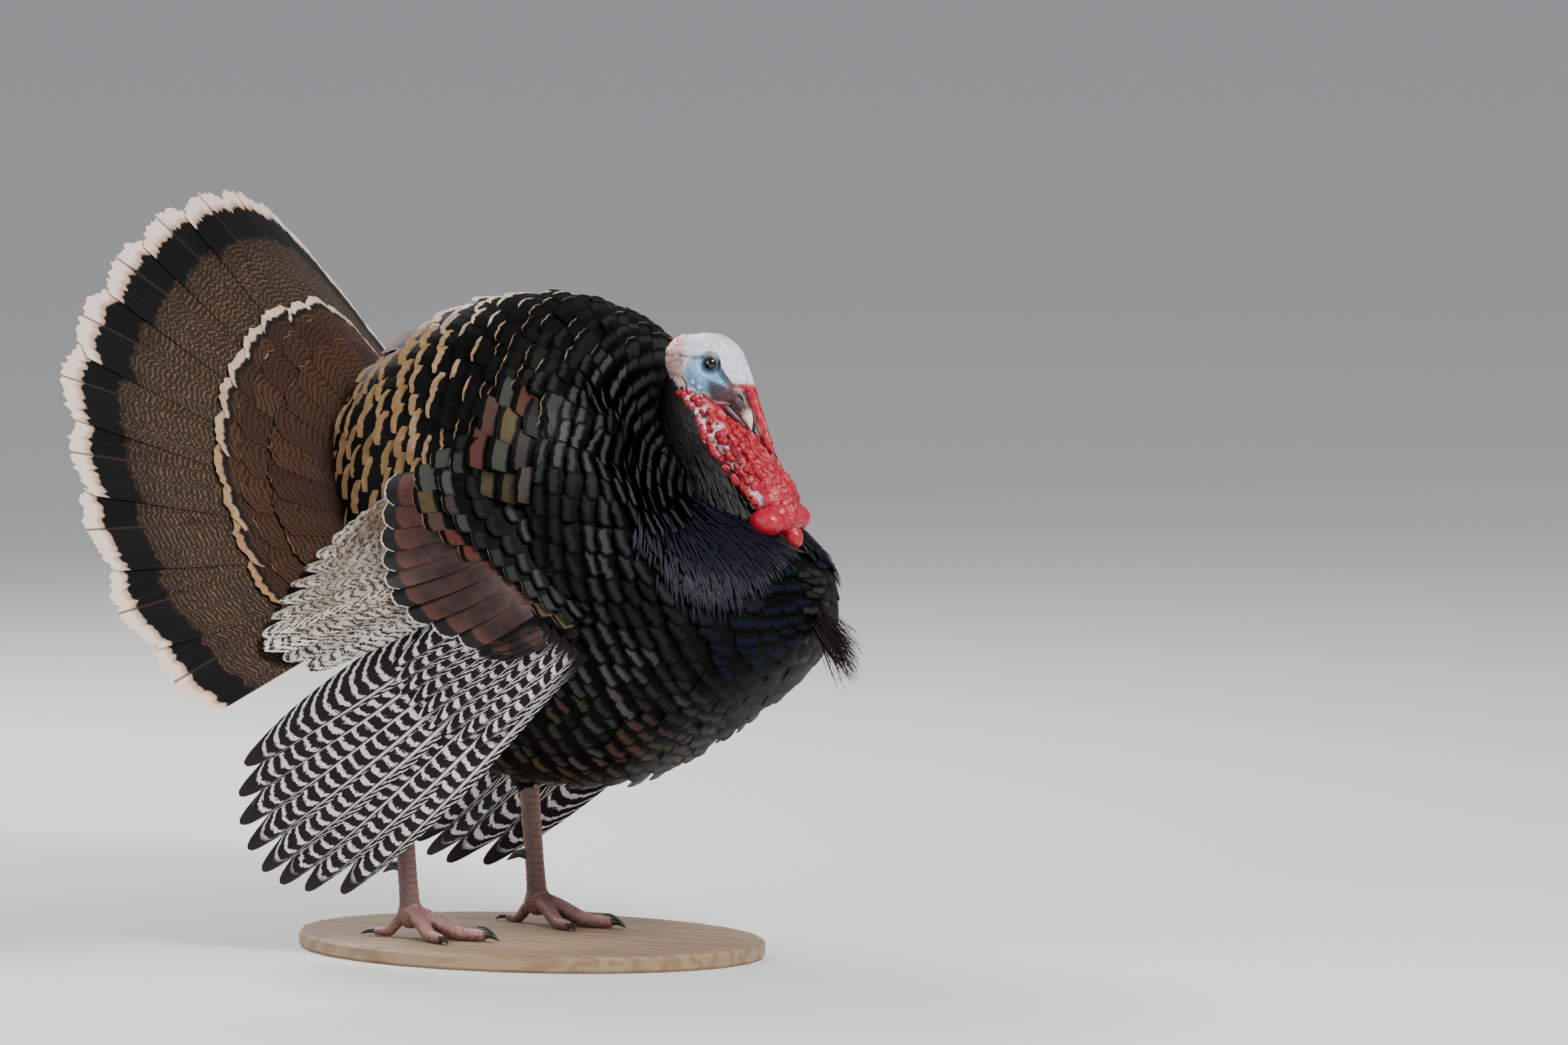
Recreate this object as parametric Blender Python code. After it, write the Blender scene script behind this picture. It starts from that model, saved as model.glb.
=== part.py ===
"""A wild turkey, an adult male in full strut, at life size on a thin oval base.

Metres. +X is the way the bird faces, +Y its left side and +Z up. The bird is laid out with
its soles at z = 0 and the middle of its belly at x = 0, and SHIFT then moves it so that the
base's underside is at z = 0 and the whole stands centred on the origin.

Plumage is modelled as the solid forms that it makes: rounded masses for the body feathers,
and thin sheets with scalloped rims for the tail and the wings.
"""

from math import cos, pi, radians, sin

import bmesh
import bpy
import numpy as np

# ---------------------------------------------------------------- driving sizes, in metres
GAP = 0.0003  # clear space between pieces that touch
CLEARANCE = 1.5  # a cutter stands out this many gaps, for its flat facets lie nearer than that
BASE_THICKNESS = 0.016
BASE_MIDDLE = (-0.045, 0.0)
BASE_HALF_LENGTH = 0.235
BASE_HALF_WIDTH = 0.170
BASE_BEVEL = 0.003
SHIFT = np.array([0.0479, 0.0, BASE_THICKNESS])

RING_POINTS = 18  # points round a body section
HEAD_POINTS = 12  # points round the head, the neck or a thigh
BASE_POINTS = 28  # points round the base
TUBE_POINTS = 8  # points round a bill, the snood or the beard
RIM_POINTS = 3  # points along the rim of each feather in a sheet
CREASE_ANGLE = 50.0  # degrees over which an edge is drawn sharp

# Body outline, station by station: x, lowest z, highest z, half width
BODY_STATIONS = np.array([
    (-0.222, 0.345, 0.495, 0.070),
    (-0.180, 0.250, 0.552, 0.125),
    (-0.120, 0.190, 0.590, 0.156),
    (-0.050, 0.155, 0.606, 0.168),
    (0.015, 0.146, 0.603, 0.172),
    (0.066, 0.152, 0.582, 0.168),
    (0.088, 0.160, 0.558, 0.165),
    (0.104, 0.168, 0.505, 0.160),
    (0.140, 0.190, 0.455, 0.148),
    (0.180, 0.217, 0.422, 0.130),
    (0.222, 0.246, 0.398, 0.104),
    (0.254, 0.278, 0.368, 0.066),
])
BODY_REAR = (-0.238, 0.0, 0.420)
BODY_FRONT = (0.270, 0.0, 0.326)
WIDEST_AT = 0.46  # height of a section's widest point, as a share of its height
FULLNESS = 0.85  # below 1 makes a section fuller than an oval
RUMP_CUT = -0.130
BREAST_CUT = 0.085

# Neck, top to bottom: x, z of its middle, half depth, half width
NECK_STATIONS = np.array([
    (0.120, 0.548, 0.022, 0.017),
    (0.124, 0.520, 0.028, 0.024),
    (0.132, 0.475, 0.040, 0.034),
    (0.150, 0.425, 0.050, 0.044),
    (0.166, 0.375, 0.052, 0.050),
    (0.170, 0.335, 0.036, 0.036),
])
NECK_LEAN = 0.45  # rise of each ring's front, as a share of its half depth

# Head, back to front: x, z of its middle, half height, half width
HEAD_STATIONS = np.array([
    (0.1010, 0.5500, 0.0150, 0.0120),
    (0.1120, 0.5485, 0.0245, 0.0180),
    (0.1290, 0.5455, 0.0295, 0.0215),
    (0.1480, 0.5425, 0.0340, 0.0220),
    (0.1660, 0.5405, 0.0315, 0.0195),
    (0.1790, 0.5385, 0.0215, 0.0145),
])
HEAD_BACK = (0.0960, 0.0, 0.5500)
HEAD_FRONT = (0.1870, 0.0, 0.5335)
EYE_RADIUS = 0.0076
EYE_PLACE = (0.1557, 0.0135, 0.5495)

UPPER_BILL = ((0.160, 0.5300), (0.172, 0.5230), (0.1820, 0.5105), (0.1880, 0.4990), (0.1912, 0.4880))
UPPER_BILL_RADII = (
    (0.0078, 0.0105), (0.0075, 0.0092), (0.0058, 0.0070), (0.0036, 0.0048), (0.0008, 0.0008))
LOWER_BILL = ((0.154, 0.5170), (0.165, 0.5090), (0.1760, 0.4990), (0.1835, 0.4915))
LOWER_BILL_RADII = ((0.0066, 0.0042), (0.0060, 0.0040), (0.0042, 0.0030), (0.0010, 0.0010))
SNOOD = ((0.1800, 0.5430), (0.1880, 0.5260), (0.1950, 0.5060), (0.2035, 0.4840), (0.2110, 0.4690))
SNOOD_RADII = (0.0060, 0.0056, 0.0050, 0.0042, 0.0030)
SNOOD_SIDE = 0.0040

WATTLE = ((0.150, 0.5050), (0.174, 0.4780), (0.196, 0.4520), (0.214, 0.4260), (0.226, 0.4060))
WATTLE_RADII = ((0.0090, 0.0090), (0.0165, 0.0150), (0.0205, 0.0190), (0.0235, 0.0200), (0.0180, 0.0160))
CARUNCLES = {  # name: middle and the three half sizes
    "caruncle_right": ((0.2200, -0.0230, 0.4035), (0.0180, 0.0145, 0.0135)),
    "caruncle_left": ((0.2255, 0.0230, 0.4050), (0.0150, 0.0135, 0.0135)),
    "caruncle_middle": ((0.2365, -0.0010, 0.3880), (0.0095, 0.0090, 0.0115)),
}

BEARD = ((0.238, 0.3200), (0.262, 0.3120), (0.284, 0.2960), (0.303, 0.2740))
BEARD_RADII = ((0.0100, 0.0080), (0.0110, 0.0080), (0.0120, 0.0060), (0.0140, 0.0030))

# Tail fan: all feathers start at one root and are swung out from the middle one
TAIL_ROOT = np.array([-0.124, 0.0, 0.3955])
TAIL_MIDDLE = np.array([-0.643, 0.0, 0.766])
TAIL_SIDE = np.array([-0.345, 0.892, -0.289])
TAIL_FOLD = 0.35  # how softly the fan turns back on each side of its middle
TAIL_REACH = 102.0  # degrees each side
TAIL_FEATHERS = 18
TAIL_LENGTH_ANGLES = (0, 15, 30, 55, 62, 85, 102)
TAIL_LENGTHS = (0.402, 0.406, 0.410, 0.424, 0.414, 0.423, 0.418)
TAIL_NOTCH = 0.035  # drop of the rim between two feathers, as a share of their length
TAIL_BOW = 0.009  # how far the tips curl back
TAIL_THICKNESS = 0.0035
TAIL_START = 0.075  # the sheets begin this far out from the root
TAIL_COVERTS = dict(
    longest=0.262, taper=0.0001, reach=98.0, offset=0.0058, feathers=12, notch=0.07, thickness=0.006)
UNDERTAIL_COVERTS = dict(
    longest=0.200, taper=0.0004, reach=80.0, offset=-0.0072, feathers=8, notch=0.09, thickness=0.009)

# Each wing sheet runs from a line of roots to a line of tips (right wing mirrored from these)
PRIMARIES = dict(
    roots=((0.112, 0.184, 0.292), (0.070, 0.190, 0.322), (0.030, 0.194, 0.345)),
    tips=((-0.165, 0.138, 0.046), (-0.222, 0.136, 0.047), (-0.250, 0.146, 0.060),
          (-0.267, 0.156, 0.090), (-0.262, 0.176, 0.130), (-0.240, 0.200, 0.176)),
    feathers=8, bow=0.012, notch=0.088)
SECONDARIES = dict(
    roots=((0.020, 0.192, 0.350), (0.000, 0.186, 0.385), (-0.015, 0.172, 0.420)),
    tips=((-0.137, 0.250, 0.268), (-0.168, 0.290, 0.293), (-0.174, 0.250, 0.328),
          (-0.172, 0.196, 0.363), (-0.150, 0.174, 0.392), (-0.116, 0.166, 0.416)),
    feathers=8, bow=0.006, notch=0.040)
TERTIALS = dict(
    roots=((0.100, 0.192, 0.330), (0.085, 0.196, 0.390), (0.060, 0.180, 0.450)),
    tips=((0.010, 0.220, 0.300), (-0.050, 0.240, 0.333), (-0.082, 0.212, 0.378), (-0.092, 0.188, 0.438)),
    feathers=6, bow=0.008, notch=0.024)
WING_THICKNESS = 0.0030
WING_FACE = np.array([-0.06, 1.0, 0.10])  # way that the left wing's sheets look
SHEET_STEP = 0.0040  # how far each wing sheet lies outside the one beneath

COVERTS_MIDDLE = (0.062, 0.144, 0.395)
COVERTS_HALF = (0.118, 0.052, 0.122)
COVERTS_LEAN = 20.0
SCAPULARS_MIDDLE = (0.045, 0.122, 0.478)
SCAPULARS_HALF = (0.110, 0.048, 0.058)
SCAPULARS_LEAN = 8.0

# Legs: place of each foot, and the joint at the top of each shank
FEET = {"right": (-0.134, -0.075), "left": (-0.080, 0.075)}
SHANK_LEAN = -0.012  # x of the shank's top from its foot
SHANK_RADII = ((0.0085, 0.0105), (0.0072, 0.0092), (0.0080, 0.0100), (0.0100, 0.0125))
SHANK_HEIGHTS = (0.020, 0.060, 0.125, 0.168)
THIGH = ((0.020, 0.100, 0.290), (0.012, 0.094, 0.240), (0.000, 0.084, 0.190), (-0.010, 0.076, 0.150),
         (-0.012, 0.075, 0.132))  # x from the foot, y, z
THIGH_RADII = ((0.050, 0.040), (0.052, 0.042), (0.040, 0.034), (0.024, 0.021), (0.014, 0.013))
TOES = {  # degrees from straight ahead (outwards positive), reach, radius
    "middle": (0.0, 0.078, 0.0068),
    "inner": (-34.0, 0.062, 0.0060),
    "outer": (34.0, 0.062, 0.0060),
    "hind": (172.0, 0.034, 0.0048),
}
ANKLE_HEIGHT = 0.025  # where the toes leave the foot's pad
TOE_SHARES = (0.0, 0.32, 0.66, 1.0)  # how far along a toe its path's points lie
TOE_ARCH = 0.66  # height of the first joint, in ankle heights
TOE_LEVEL = 0.95  # height of the toe's middle on the ground, in its radii
TOE_TIP = 0.80
TOE_TAPER = np.array([1.10, 1.15, 1.00, 0.75])
CLAW_TAPER = np.array([0.62, 0.45, 0.13])
FOOT_PAD = (0.0130, 0.0115, 0.0140)
FOOT_PAD_HEIGHT = 0.022
CLAW_LENGTH = 0.017
CLAW_LINE = ((0.0, 0.95), (0.5, 0.90), (1.0, 0.28))  # share of length, height in radii
SPUR_HEIGHT = 0.066
SPUR_LINE = ((-0.005, 0.001, -0.002), (-0.018, 0.002, 0.001), (-0.031, 0.003, -0.006))
SPUR_RADII = (0.0054, 0.0046, 0.0010)

# ---------------------------------------------------------------- colours: base, roughness, metallic
FINISHES = {
    "body_plumage": ((0.030, 0.024, 0.020), 0.45, 0.0),
    "neck_plumage": ((0.045, 0.035, 0.032), 0.50, 0.0),
    "wing_plumage": ((0.120, 0.095, 0.075), 0.50, 0.0),
    "tail_plumage": ((0.180, 0.110, 0.065), 0.60, 0.0),
    "covert_plumage": ((0.160, 0.070, 0.035), 0.55, 0.0),
    "beard_bristle": ((0.015, 0.014, 0.014), 0.60, 0.0),
    "head_skin": ((0.420, 0.560, 0.680), 0.50, 0.0),
    "red_skin": ((0.700, 0.060, 0.070), 0.40, 0.0),
    "leg_skin": ((0.520, 0.270, 0.240), 0.55, 0.0),
    "bill_horn": ((0.620, 0.520, 0.400), 0.35, 0.0),
    "claw_horn": ((0.120, 0.090, 0.075), 0.40, 0.0),
    "eye_gloss": ((0.020, 0.010, 0.008), 0.05, 0.0),
    "base_finish": ((0.300, 0.220, 0.150), 0.50, 0.0),
}


# ---------------------------------------------------------------- numbers and curves
def smooth(knots, values, at):
    """Values at `at` on a curve through the knots: cubics that share their slopes."""
    knots, values, at = (np.asarray(v, float) for v in (knots, values, at))
    slopes = np.gradient(values, knots, axis=0)
    i = np.clip(np.searchsorted(knots, at, side="right") - 1, 0, len(knots) - 2)
    step = knots[i + 1] - knots[i]
    t = (at - knots[i]) / step
    if values.ndim > 1:
        step, t = step[:, None], t[:, None]
    return (values[i] * (2 * t**3 - 3 * t**2 + 1) + values[i + 1] * (3 * t**2 - 2 * t**3)
            + step * (slopes[i] * (t**3 - 2 * t**2 + t) + slopes[i + 1] * (t**3 - t**2)))


def along(points, count):
    """`count` evenly numbered points on the smooth curve through `points`."""
    return smooth(np.arange(len(points)), points, np.linspace(0, len(points) - 1, count))


def unit(vectors):
    return vectors / np.linalg.norm(vectors, axis=-1, keepdims=True)


def upright_path(path, side=0.0):
    """A path of (x, z) pairs as points at y = side."""
    return np.array([(x, side, z) for x, z in path])


# ---------------------------------------------------------------- the scene
def clear_scene():
    for obj in list(bpy.data.objects):
        bpy.data.objects.remove(obj, do_unlink=True)


def new_collection(name):
    collection = bpy.data.collections.new(name)
    bpy.context.scene.collection.children.link(collection)
    return collection


def finish_material(name):
    """The Principled material of this name, made the first time it is asked for."""
    material = bpy.data.materials.get(name)
    if material is None:
        colour, roughness, metallic = FINISHES[name]
        material = bpy.data.materials.new(name)
        material.use_nodes = True
        shader = material.node_tree.nodes["Principled BSDF"]
        shader.inputs["Base Color"].default_value = (*colour, 1.0)
        shader.inputs["Roughness"].default_value = roughness
        shader.inputs["Metallic"].default_value = metallic
        material.diffuse_color = (*colour, 1.0)
    return material


def add_piece(name, shape, finish):
    """A named object of this (points, faces) shape, its faces turned outwards, in its place."""
    points, faces = shape
    mesh = bpy.data.meshes.new(name)
    mesh.from_pydata((np.asarray(points) + SHIFT).tolist(), [], faces)
    work = bmesh.new()
    work.from_mesh(mesh)
    bmesh.ops.recalc_face_normals(work, faces=work.faces)
    work.to_mesh(mesh)
    work.free()
    mesh.shade_smooth()
    mesh.set_sharp_from_angle(angle=radians(CREASE_ANGLE))
    mesh.materials.append(finish_material(finish))
    obj = bpy.data.objects.new(name, mesh)
    parts.objects.link(obj)
    return obj


def keep_clear(piece, *neighbours):
    """Cuts from the piece what its neighbours take up, and GAP round them."""
    for other in neighbours:
        name = f"{other.name}_clearance"
        cutter = bpy.data.objects.get(name)
        if cutter is None:
            cutter = bpy.data.objects.new(name, other.data.copy())
            normals = [vertex.normal.copy() for vertex in cutter.data.vertices]
            for vertex, normal in zip(cutter.data.vertices, normals):
                vertex.co += normal * GAP * CLEARANCE
            cutter.hide_render = True
            cutter.display_type = "WIRE"
            cutters.objects.link(cutter)
        cut = piece.modifiers.new(name, "BOOLEAN")
        cut.operation = "DIFFERENCE"
        cut.object = cutter


def hide(obj):
    """Makes a helper of this object: it shapes others and is no part of the bird."""
    parts.objects.unlink(obj)
    cutters.objects.link(obj)
    obj.hide_render = True
    obj.display_type = "WIRE"
    return obj


def join_shapes(name, shapes, finish):
    """One body: the first shape with the others joined to it by Boolean unions."""
    names = [name] + [f"{name}_{i}" for i in range(1, len(shapes))]
    first, *rest = [add_piece(each, shape, finish) for each, shape in zip(names, shapes)]
    for other in rest:
        hide(other)
        union = first.modifiers.new(other.name, "BOOLEAN")
        union.operation = "UNION"
        union.object = other
    return first


# ---------------------------------------------------------------- shapes: each returns (points, faces)
def split(quads):
    """Each quad as two triangles, always along the same diagonal, so that equal shapes have equal facets."""
    return [half for a, b, c, d in quads for half in ((a, b, c), (a, c, d))]


def loft(rings, start=None, end=None):
    """A closed body through equal rings. An end is a point, or flat where none is given."""
    rings = np.asarray(rings)
    rows, columns = rings.shape[:2]
    points = rings.reshape(-1, 3).tolist()
    faces = split([(r * columns + c, r * columns + (c + 1) % columns,
                    (r + 1) * columns + (c + 1) % columns, (r + 1) * columns + c)
                   for r in range(rows - 1) for c in range(columns)])
    first = list(range(columns))[::-1]
    last = list(range((rows - 1) * columns, rows * columns))
    for tip, ring in ((start, first), (end, last)):
        if tip is None:
            faces.append(tuple(ring))
            continue
        points.append(tuple(tip))
        faces += [(ring[c], ring[(c + 1) % columns], len(points) - 1) for c in range(columns)]
    return np.array(points), faces


def tube(path, radii, count=None, points=TUBE_POINTS, across=(0.0, 1.0, 0.0)):
    """A body along a path. Its radii are (sideways, the other way), or one number for both."""
    radii = np.array([r if np.ndim(r) else (r, r) for r in radii], float)
    count = count or len(path)
    path, radii = along(path, count), along(radii, count)
    heading = unit(np.gradient(path, axis=0))
    side = np.broadcast_to(np.asarray(across, float), heading.shape)
    side = unit(side - (side * heading).sum(1, keepdims=True) * heading)
    up = np.cross(heading, side)
    turn = np.linspace(0, 2 * pi, points, endpoint=False)[None, :, None]
    rings = (path[:, None] + side[:, None] * radii[:, None, :1] * np.cos(turn)
             + up[:, None] * radii[:, None, 1:] * np.sin(turn))
    ends = radii.mean(1)[[0, -1]] * 0.6
    return loft(rings, path[0] - heading[0] * ends[0], path[-1] + heading[-1] * ends[1])


def ball(middle, half_sizes, rings=6, points=10, lean=0.0):
    """An egg or ball with these half sizes along X, Y and Z, leaning forward about Y."""
    polar = np.linspace(0, pi, rings + 2)[1:-1, None]
    turn = np.linspace(0, 2 * pi, points, endpoint=False)[None, :]
    body = np.stack([np.sin(polar) * np.cos(turn), np.sin(polar) * np.sin(turn),
                     np.cos(polar) + 0 * turn], axis=-1) * half_sizes
    lean = np.array([(cos(lean), 0, sin(lean)), (0, 1, 0), (-sin(lean), 0, cos(lean))])
    poles = np.array([(0, 0, half_sizes[2]), (0, 0, -half_sizes[2])]) @ lean.T + middle
    return loft(body @ lean.T + middle, *poles)


def section(middle_x, low, high, half_width, points=RING_POINTS):
    """One upright body section: an oval that is widest a little below its middle."""
    turn = np.linspace(0, 2 * pi, points, endpoint=False) + pi / points
    widest = low + (high - low) * WIDEST_AT
    rise = np.where(np.sin(turn) > 0, high - widest, widest - low)
    wide = np.sign(np.cos(turn)) * np.abs(np.cos(turn)) ** FULLNESS
    return np.stack([np.full(points, middle_x), half_width * wide, widest + rise * np.sin(turn)], axis=-1)


def body_length(x, start=None, end=None):
    """A length of the body: upright sections at these x, closed by a point or a flat cut."""
    sizes = smooth(BODY_STATIONS[:, 0], BODY_STATIONS[:, 1:], x)
    return loft([section(place, *size) for place, size in zip(x, sizes)], start, end)


def sheet(surface, outward, thickness, feathers, notch, spokes):
    """A thin sheet of feathers with a scalloped rim.

    surface(share, t) gives points for a share of the length (0 root, 1 tip) and t across the
    sheet (0 to 1); outward(t) the unit direction that its face looks. `notch` is how far the
    rim drops back between two feathers, as a length share.
    """
    t = np.linspace(0, 1, feathers * RIM_POINTS + 1)
    across = 2 * ((t * feathers) % 1) - 1
    rim = 1 - notch * (1 - np.sqrt(np.clip(1 - across**2, 0, 1)))
    share = np.linspace(0, 1, spokes)[:, None] * rim[None, :]
    middle = surface(share, np.broadcast_to(t, share.shape))
    face = outward(t)[None]
    front = middle + face * thickness / 2
    back = middle - face * thickness / 2
    rows, columns = share.shape
    size = rows * columns
    quads = [(r * columns + c, r * columns + c + 1, (r + 1) * columns + c + 1, (r + 1) * columns + c)
             for r in range(rows - 1) for c in range(columns - 1)]
    border = ([(0, c) for c in range(columns)]
              + [(r, columns - 1) for r in range(1, rows)]
              + [(rows - 1, c) for c in range(columns - 2, -1, -1)]
              + [(r, 0) for r in range(rows - 2, 0, -1)])
    border = [r * columns + c for r, c in border]
    rim_faces = [(a, b, b + size, a + size) for a, b in zip(border, border[1:] + border[:1])]
    faces = split(quads + [tuple(i + size for i in quad[::-1]) for quad in quads] + rim_faces)
    return np.concatenate([front.reshape(-1, 3), back.reshape(-1, 3)]), faces


# ---------------------------------------------------------------- the tail
def tail_direction(angle):
    """Unit directions of tail feathers, for angles in degrees from the middle, left positive."""
    swing = np.radians(np.asarray(angle, float))[..., None]
    back = np.sqrt(np.sin(swing) ** 2 + TAIL_FOLD**2) - TAIL_FOLD
    return unit(np.cos(swing) * TAIL_MIDDLE + np.sin(swing) * TAIL_SIDE * (0, 1, 0)
                + back * TAIL_SIDE * (1, 0, 1))


def tail_face(angle):
    """Unit directions that the fan's front looks at these angles."""
    step = 0.5
    return unit(np.cross(tail_direction(angle + step) - tail_direction(angle - step), tail_direction(angle)))


def tail_sheet(length_at, reach, offset, feathers, notch, thickness, spokes):
    """A sheet of tail feathers, `offset` in front of the fan's own surface."""
    def surface(share, t):
        angle = reach * (2 * t - 1)
        length = TAIL_START + (length_at(np.abs(angle)) - TAIL_START) * share
        bend = offset - TAIL_BOW * (length / TAIL_LENGTHS[0]) ** 2
        return TAIL_ROOT + tail_direction(angle) * length[..., None] + tail_face(angle) * bend[..., None]

    return sheet(surface, lambda t: tail_face(reach * (2 * t - 1)), thickness, feathers, notch, spokes)


def covert_sheet(plan):
    """A sheet of tail coverts: like the fan's, but shorter, thicker and growing shorter outwards."""
    return tail_sheet(lambda angle: plan["longest"] - plan["taper"] * angle, plan["reach"], plan["offset"],
                      plan["feathers"], plan["notch"], plan["thickness"], spokes=2)


def build_tail(body):
    fan = add_piece("tail_fan", tail_sheet(
        lambda angle: np.interp(angle, TAIL_LENGTH_ANGLES, TAIL_LENGTHS),
        TAIL_REACH, 0.0, TAIL_FEATHERS, TAIL_NOTCH, TAIL_THICKNESS, spokes=3), "tail_plumage")
    coverts = add_piece("tail_coverts", covert_sheet(TAIL_COVERTS), "covert_plumage")
    under = add_piece("undertail_coverts", covert_sheet(UNDERTAIL_COVERTS), "covert_plumage")
    for sheet_piece in (fan, coverts, under):
        keep_clear(sheet_piece, body)


# ---------------------------------------------------------------- wings
def wing_sheet(plan, side, layer):
    """One sheet of wing feathers on this side, lifted `layer` steps out from the body."""
    mirror = np.array([1.0, side, 1.0])

    def surface(share, t):
        t = t[0]
        roots = smooth(np.linspace(0, 1, len(plan["roots"])), plan["roots"], t)
        tips = smooth(np.linspace(0, 1, len(plan["tips"])), plan["tips"], t)
        points = roots + (tips - roots) * share[..., None]
        points[..., 1] += layer * SHEET_STEP + plan["bow"] * np.sin(pi * share)
        return points * mirror

    def outward(t):
        return np.broadcast_to(unit(WING_FACE * mirror), (len(t), 3))

    return sheet(surface, outward, WING_THICKNESS, plan["feathers"], plan["notch"], spokes=3)


def build_wing(side_name, side, body, leg):
    mirror = (1.0, side, 1.0)
    wing = f"wing_{side_name}"
    primaries = add_piece(f"{wing}_primaries", wing_sheet(PRIMARIES, side, 0), "wing_plumage")
    secondaries = add_piece(f"{wing}_secondaries", wing_sheet(SECONDARIES, side, 1), "wing_plumage")
    tertials = add_piece(f"{wing}_tertials", wing_sheet(TERTIALS, side, 2), "wing_plumage")
    coverts = add_piece(f"{wing}_coverts", ball(
        np.array(COVERTS_MIDDLE) * mirror, COVERTS_HALF, 7, 12, lean=radians(COVERTS_LEAN)), "body_plumage")
    scapulars = add_piece(f"{wing}_scapulars", ball(
        np.array(SCAPULARS_MIDDLE) * mirror, SCAPULARS_HALF, 6, 12, lean=radians(SCAPULARS_LEAN)),
        "body_plumage")
    keep_clear(scapulars, body)
    keep_clear(coverts, scapulars, body)
    keep_clear(tertials, coverts, scapulars, body)
    keep_clear(secondaries, tertials, coverts, scapulars, body)
    keep_clear(primaries, secondaries, tertials, coverts, body, *leg)


# ---------------------------------------------------------------- body, neck and head
def build_body(head):
    """Rump, trunk and breast, and the whole as one hidden form for what lies on it to be cut by."""
    rump_x = np.linspace(BODY_STATIONS[0, 0], RUMP_CUT - GAP / 2, 4)
    trunk_x = np.linspace(RUMP_CUT + GAP / 2, BREAST_CUT - GAP / 2, 8)
    breast_x = np.linspace(BREAST_CUT + GAP / 2, BODY_STATIONS[-1, 0], 7)
    add_piece("rump", body_length(rump_x, start=BODY_REAR), "body_plumage")
    trunk = add_piece("trunk", body_length(trunk_x), "body_plumage")
    breast = add_piece("breast", body_length(breast_x, end=BODY_FRONT), "body_plumage")
    keep_clear(breast, head)
    keep_clear(trunk, head)
    whole_x = np.concatenate([rump_x, trunk_x, breast_x])
    return hide(add_piece("body_form", body_length(whole_x, BODY_REAR, BODY_FRONT), "body_plumage"))


def build_head():
    x = np.linspace(HEAD_STATIONS[0, 0], HEAD_STATIONS[-1, 0], 7)
    sizes = smooth(HEAD_STATIONS[:, 0], HEAD_STATIONS[:, 1:], x)
    rings = [section(place, middle - tall, middle + tall, wide, HEAD_POINTS)
             for place, (middle, tall, wide) in zip(x, sizes)]
    head = add_piece("head", loft(rings, HEAD_BACK, HEAD_FRONT), "head_skin")
    snood = add_piece("snood", tube(upright_path(SNOOD, SNOOD_SIDE), SNOOD_RADII, 6), "red_skin")
    upper = add_piece("bill_upper", tube(upright_path(UPPER_BILL), UPPER_BILL_RADII, 7, 8), "bill_horn")
    lower = add_piece("bill_lower", tube(upright_path(LOWER_BILL), LOWER_BILL_RADII, 5, 8), "bill_horn")
    eyes = [add_piece(f"eye_{name}", ball(
        np.array(EYE_PLACE) * (1, side, 1), (EYE_RADIUS,) * 3, 5, TUBE_POINTS), "eye_gloss")
        for name, side in (("right", -1), ("left", 1))]
    keep_clear(head, snood, upper, lower, *eyes)
    keep_clear(upper, snood)
    keep_clear(lower, upper)
    return head, lower


def build_neck(head, lower_bill, body):
    rings = []
    for x, z, deep, wide in along(NECK_STATIONS, 7):
        turn = np.linspace(0, 2 * pi, HEAD_POINTS, endpoint=False)
        rings.append(np.stack([x + deep * np.cos(turn), wide * np.sin(turn),
                               z + NECK_LEAN * deep * np.cos(turn)], axis=-1))
    neck = add_piece("neck", loft(rings), "neck_plumage")
    wattle = add_piece("wattle", tube(upright_path(WATTLE), WATTLE_RADII, 6, 9), "red_skin")
    caruncles = [add_piece(name, ball(middle, half), "red_skin")
                 for name, (middle, half) in CARUNCLES.items()]
    keep_clear(wattle, head, lower_bill, *caruncles, body)
    keep_clear(neck, wattle, lower_bill, *caruncles[:2], head, body)
    for caruncle in caruncles[:2]:
        keep_clear(caruncle, caruncles[2])
    for caruncle in caruncles:
        keep_clear(caruncle, body)
    beard = add_piece("beard", tube(upright_path(BEARD), BEARD_RADII, 6), "beard_bristle")
    keep_clear(beard, body)


# ---------------------------------------------------------------- legs
def toe_heading(side, angle):
    """The level direction of a toe, `angle` degrees outwards from straight ahead."""
    return np.array([cos(radians(angle)), side * sin(radians(angle)), 0.0])


def toe_path(foot, side, angle, reach, radius):
    """A toe: from the foot's pad down over its first joint, then along the ground."""
    heading = toe_heading(side, angle)
    ground = np.array([*foot, 0.0])
    heights = [ANKLE_HEIGHT, ANKLE_HEIGHT * TOE_ARCH, radius * TOE_LEVEL, radius * TOE_TIP]
    return np.array([ground + heading * reach * share + (0, 0, high)
                     for share, high in zip(TOE_SHARES, heights)])


def claw_path(foot, side, angle, reach, radius):
    """A claw: it carries on from its toe's tip and curves down to the ground."""
    heading = toe_heading(side, angle)
    tip = np.array([*foot, 0.0]) + heading * (reach + radius / 2)
    return np.array([tip + heading * CLAW_LENGTH * share + (0, 0, radius * high)
                     for share, high in CLAW_LINE])


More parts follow.
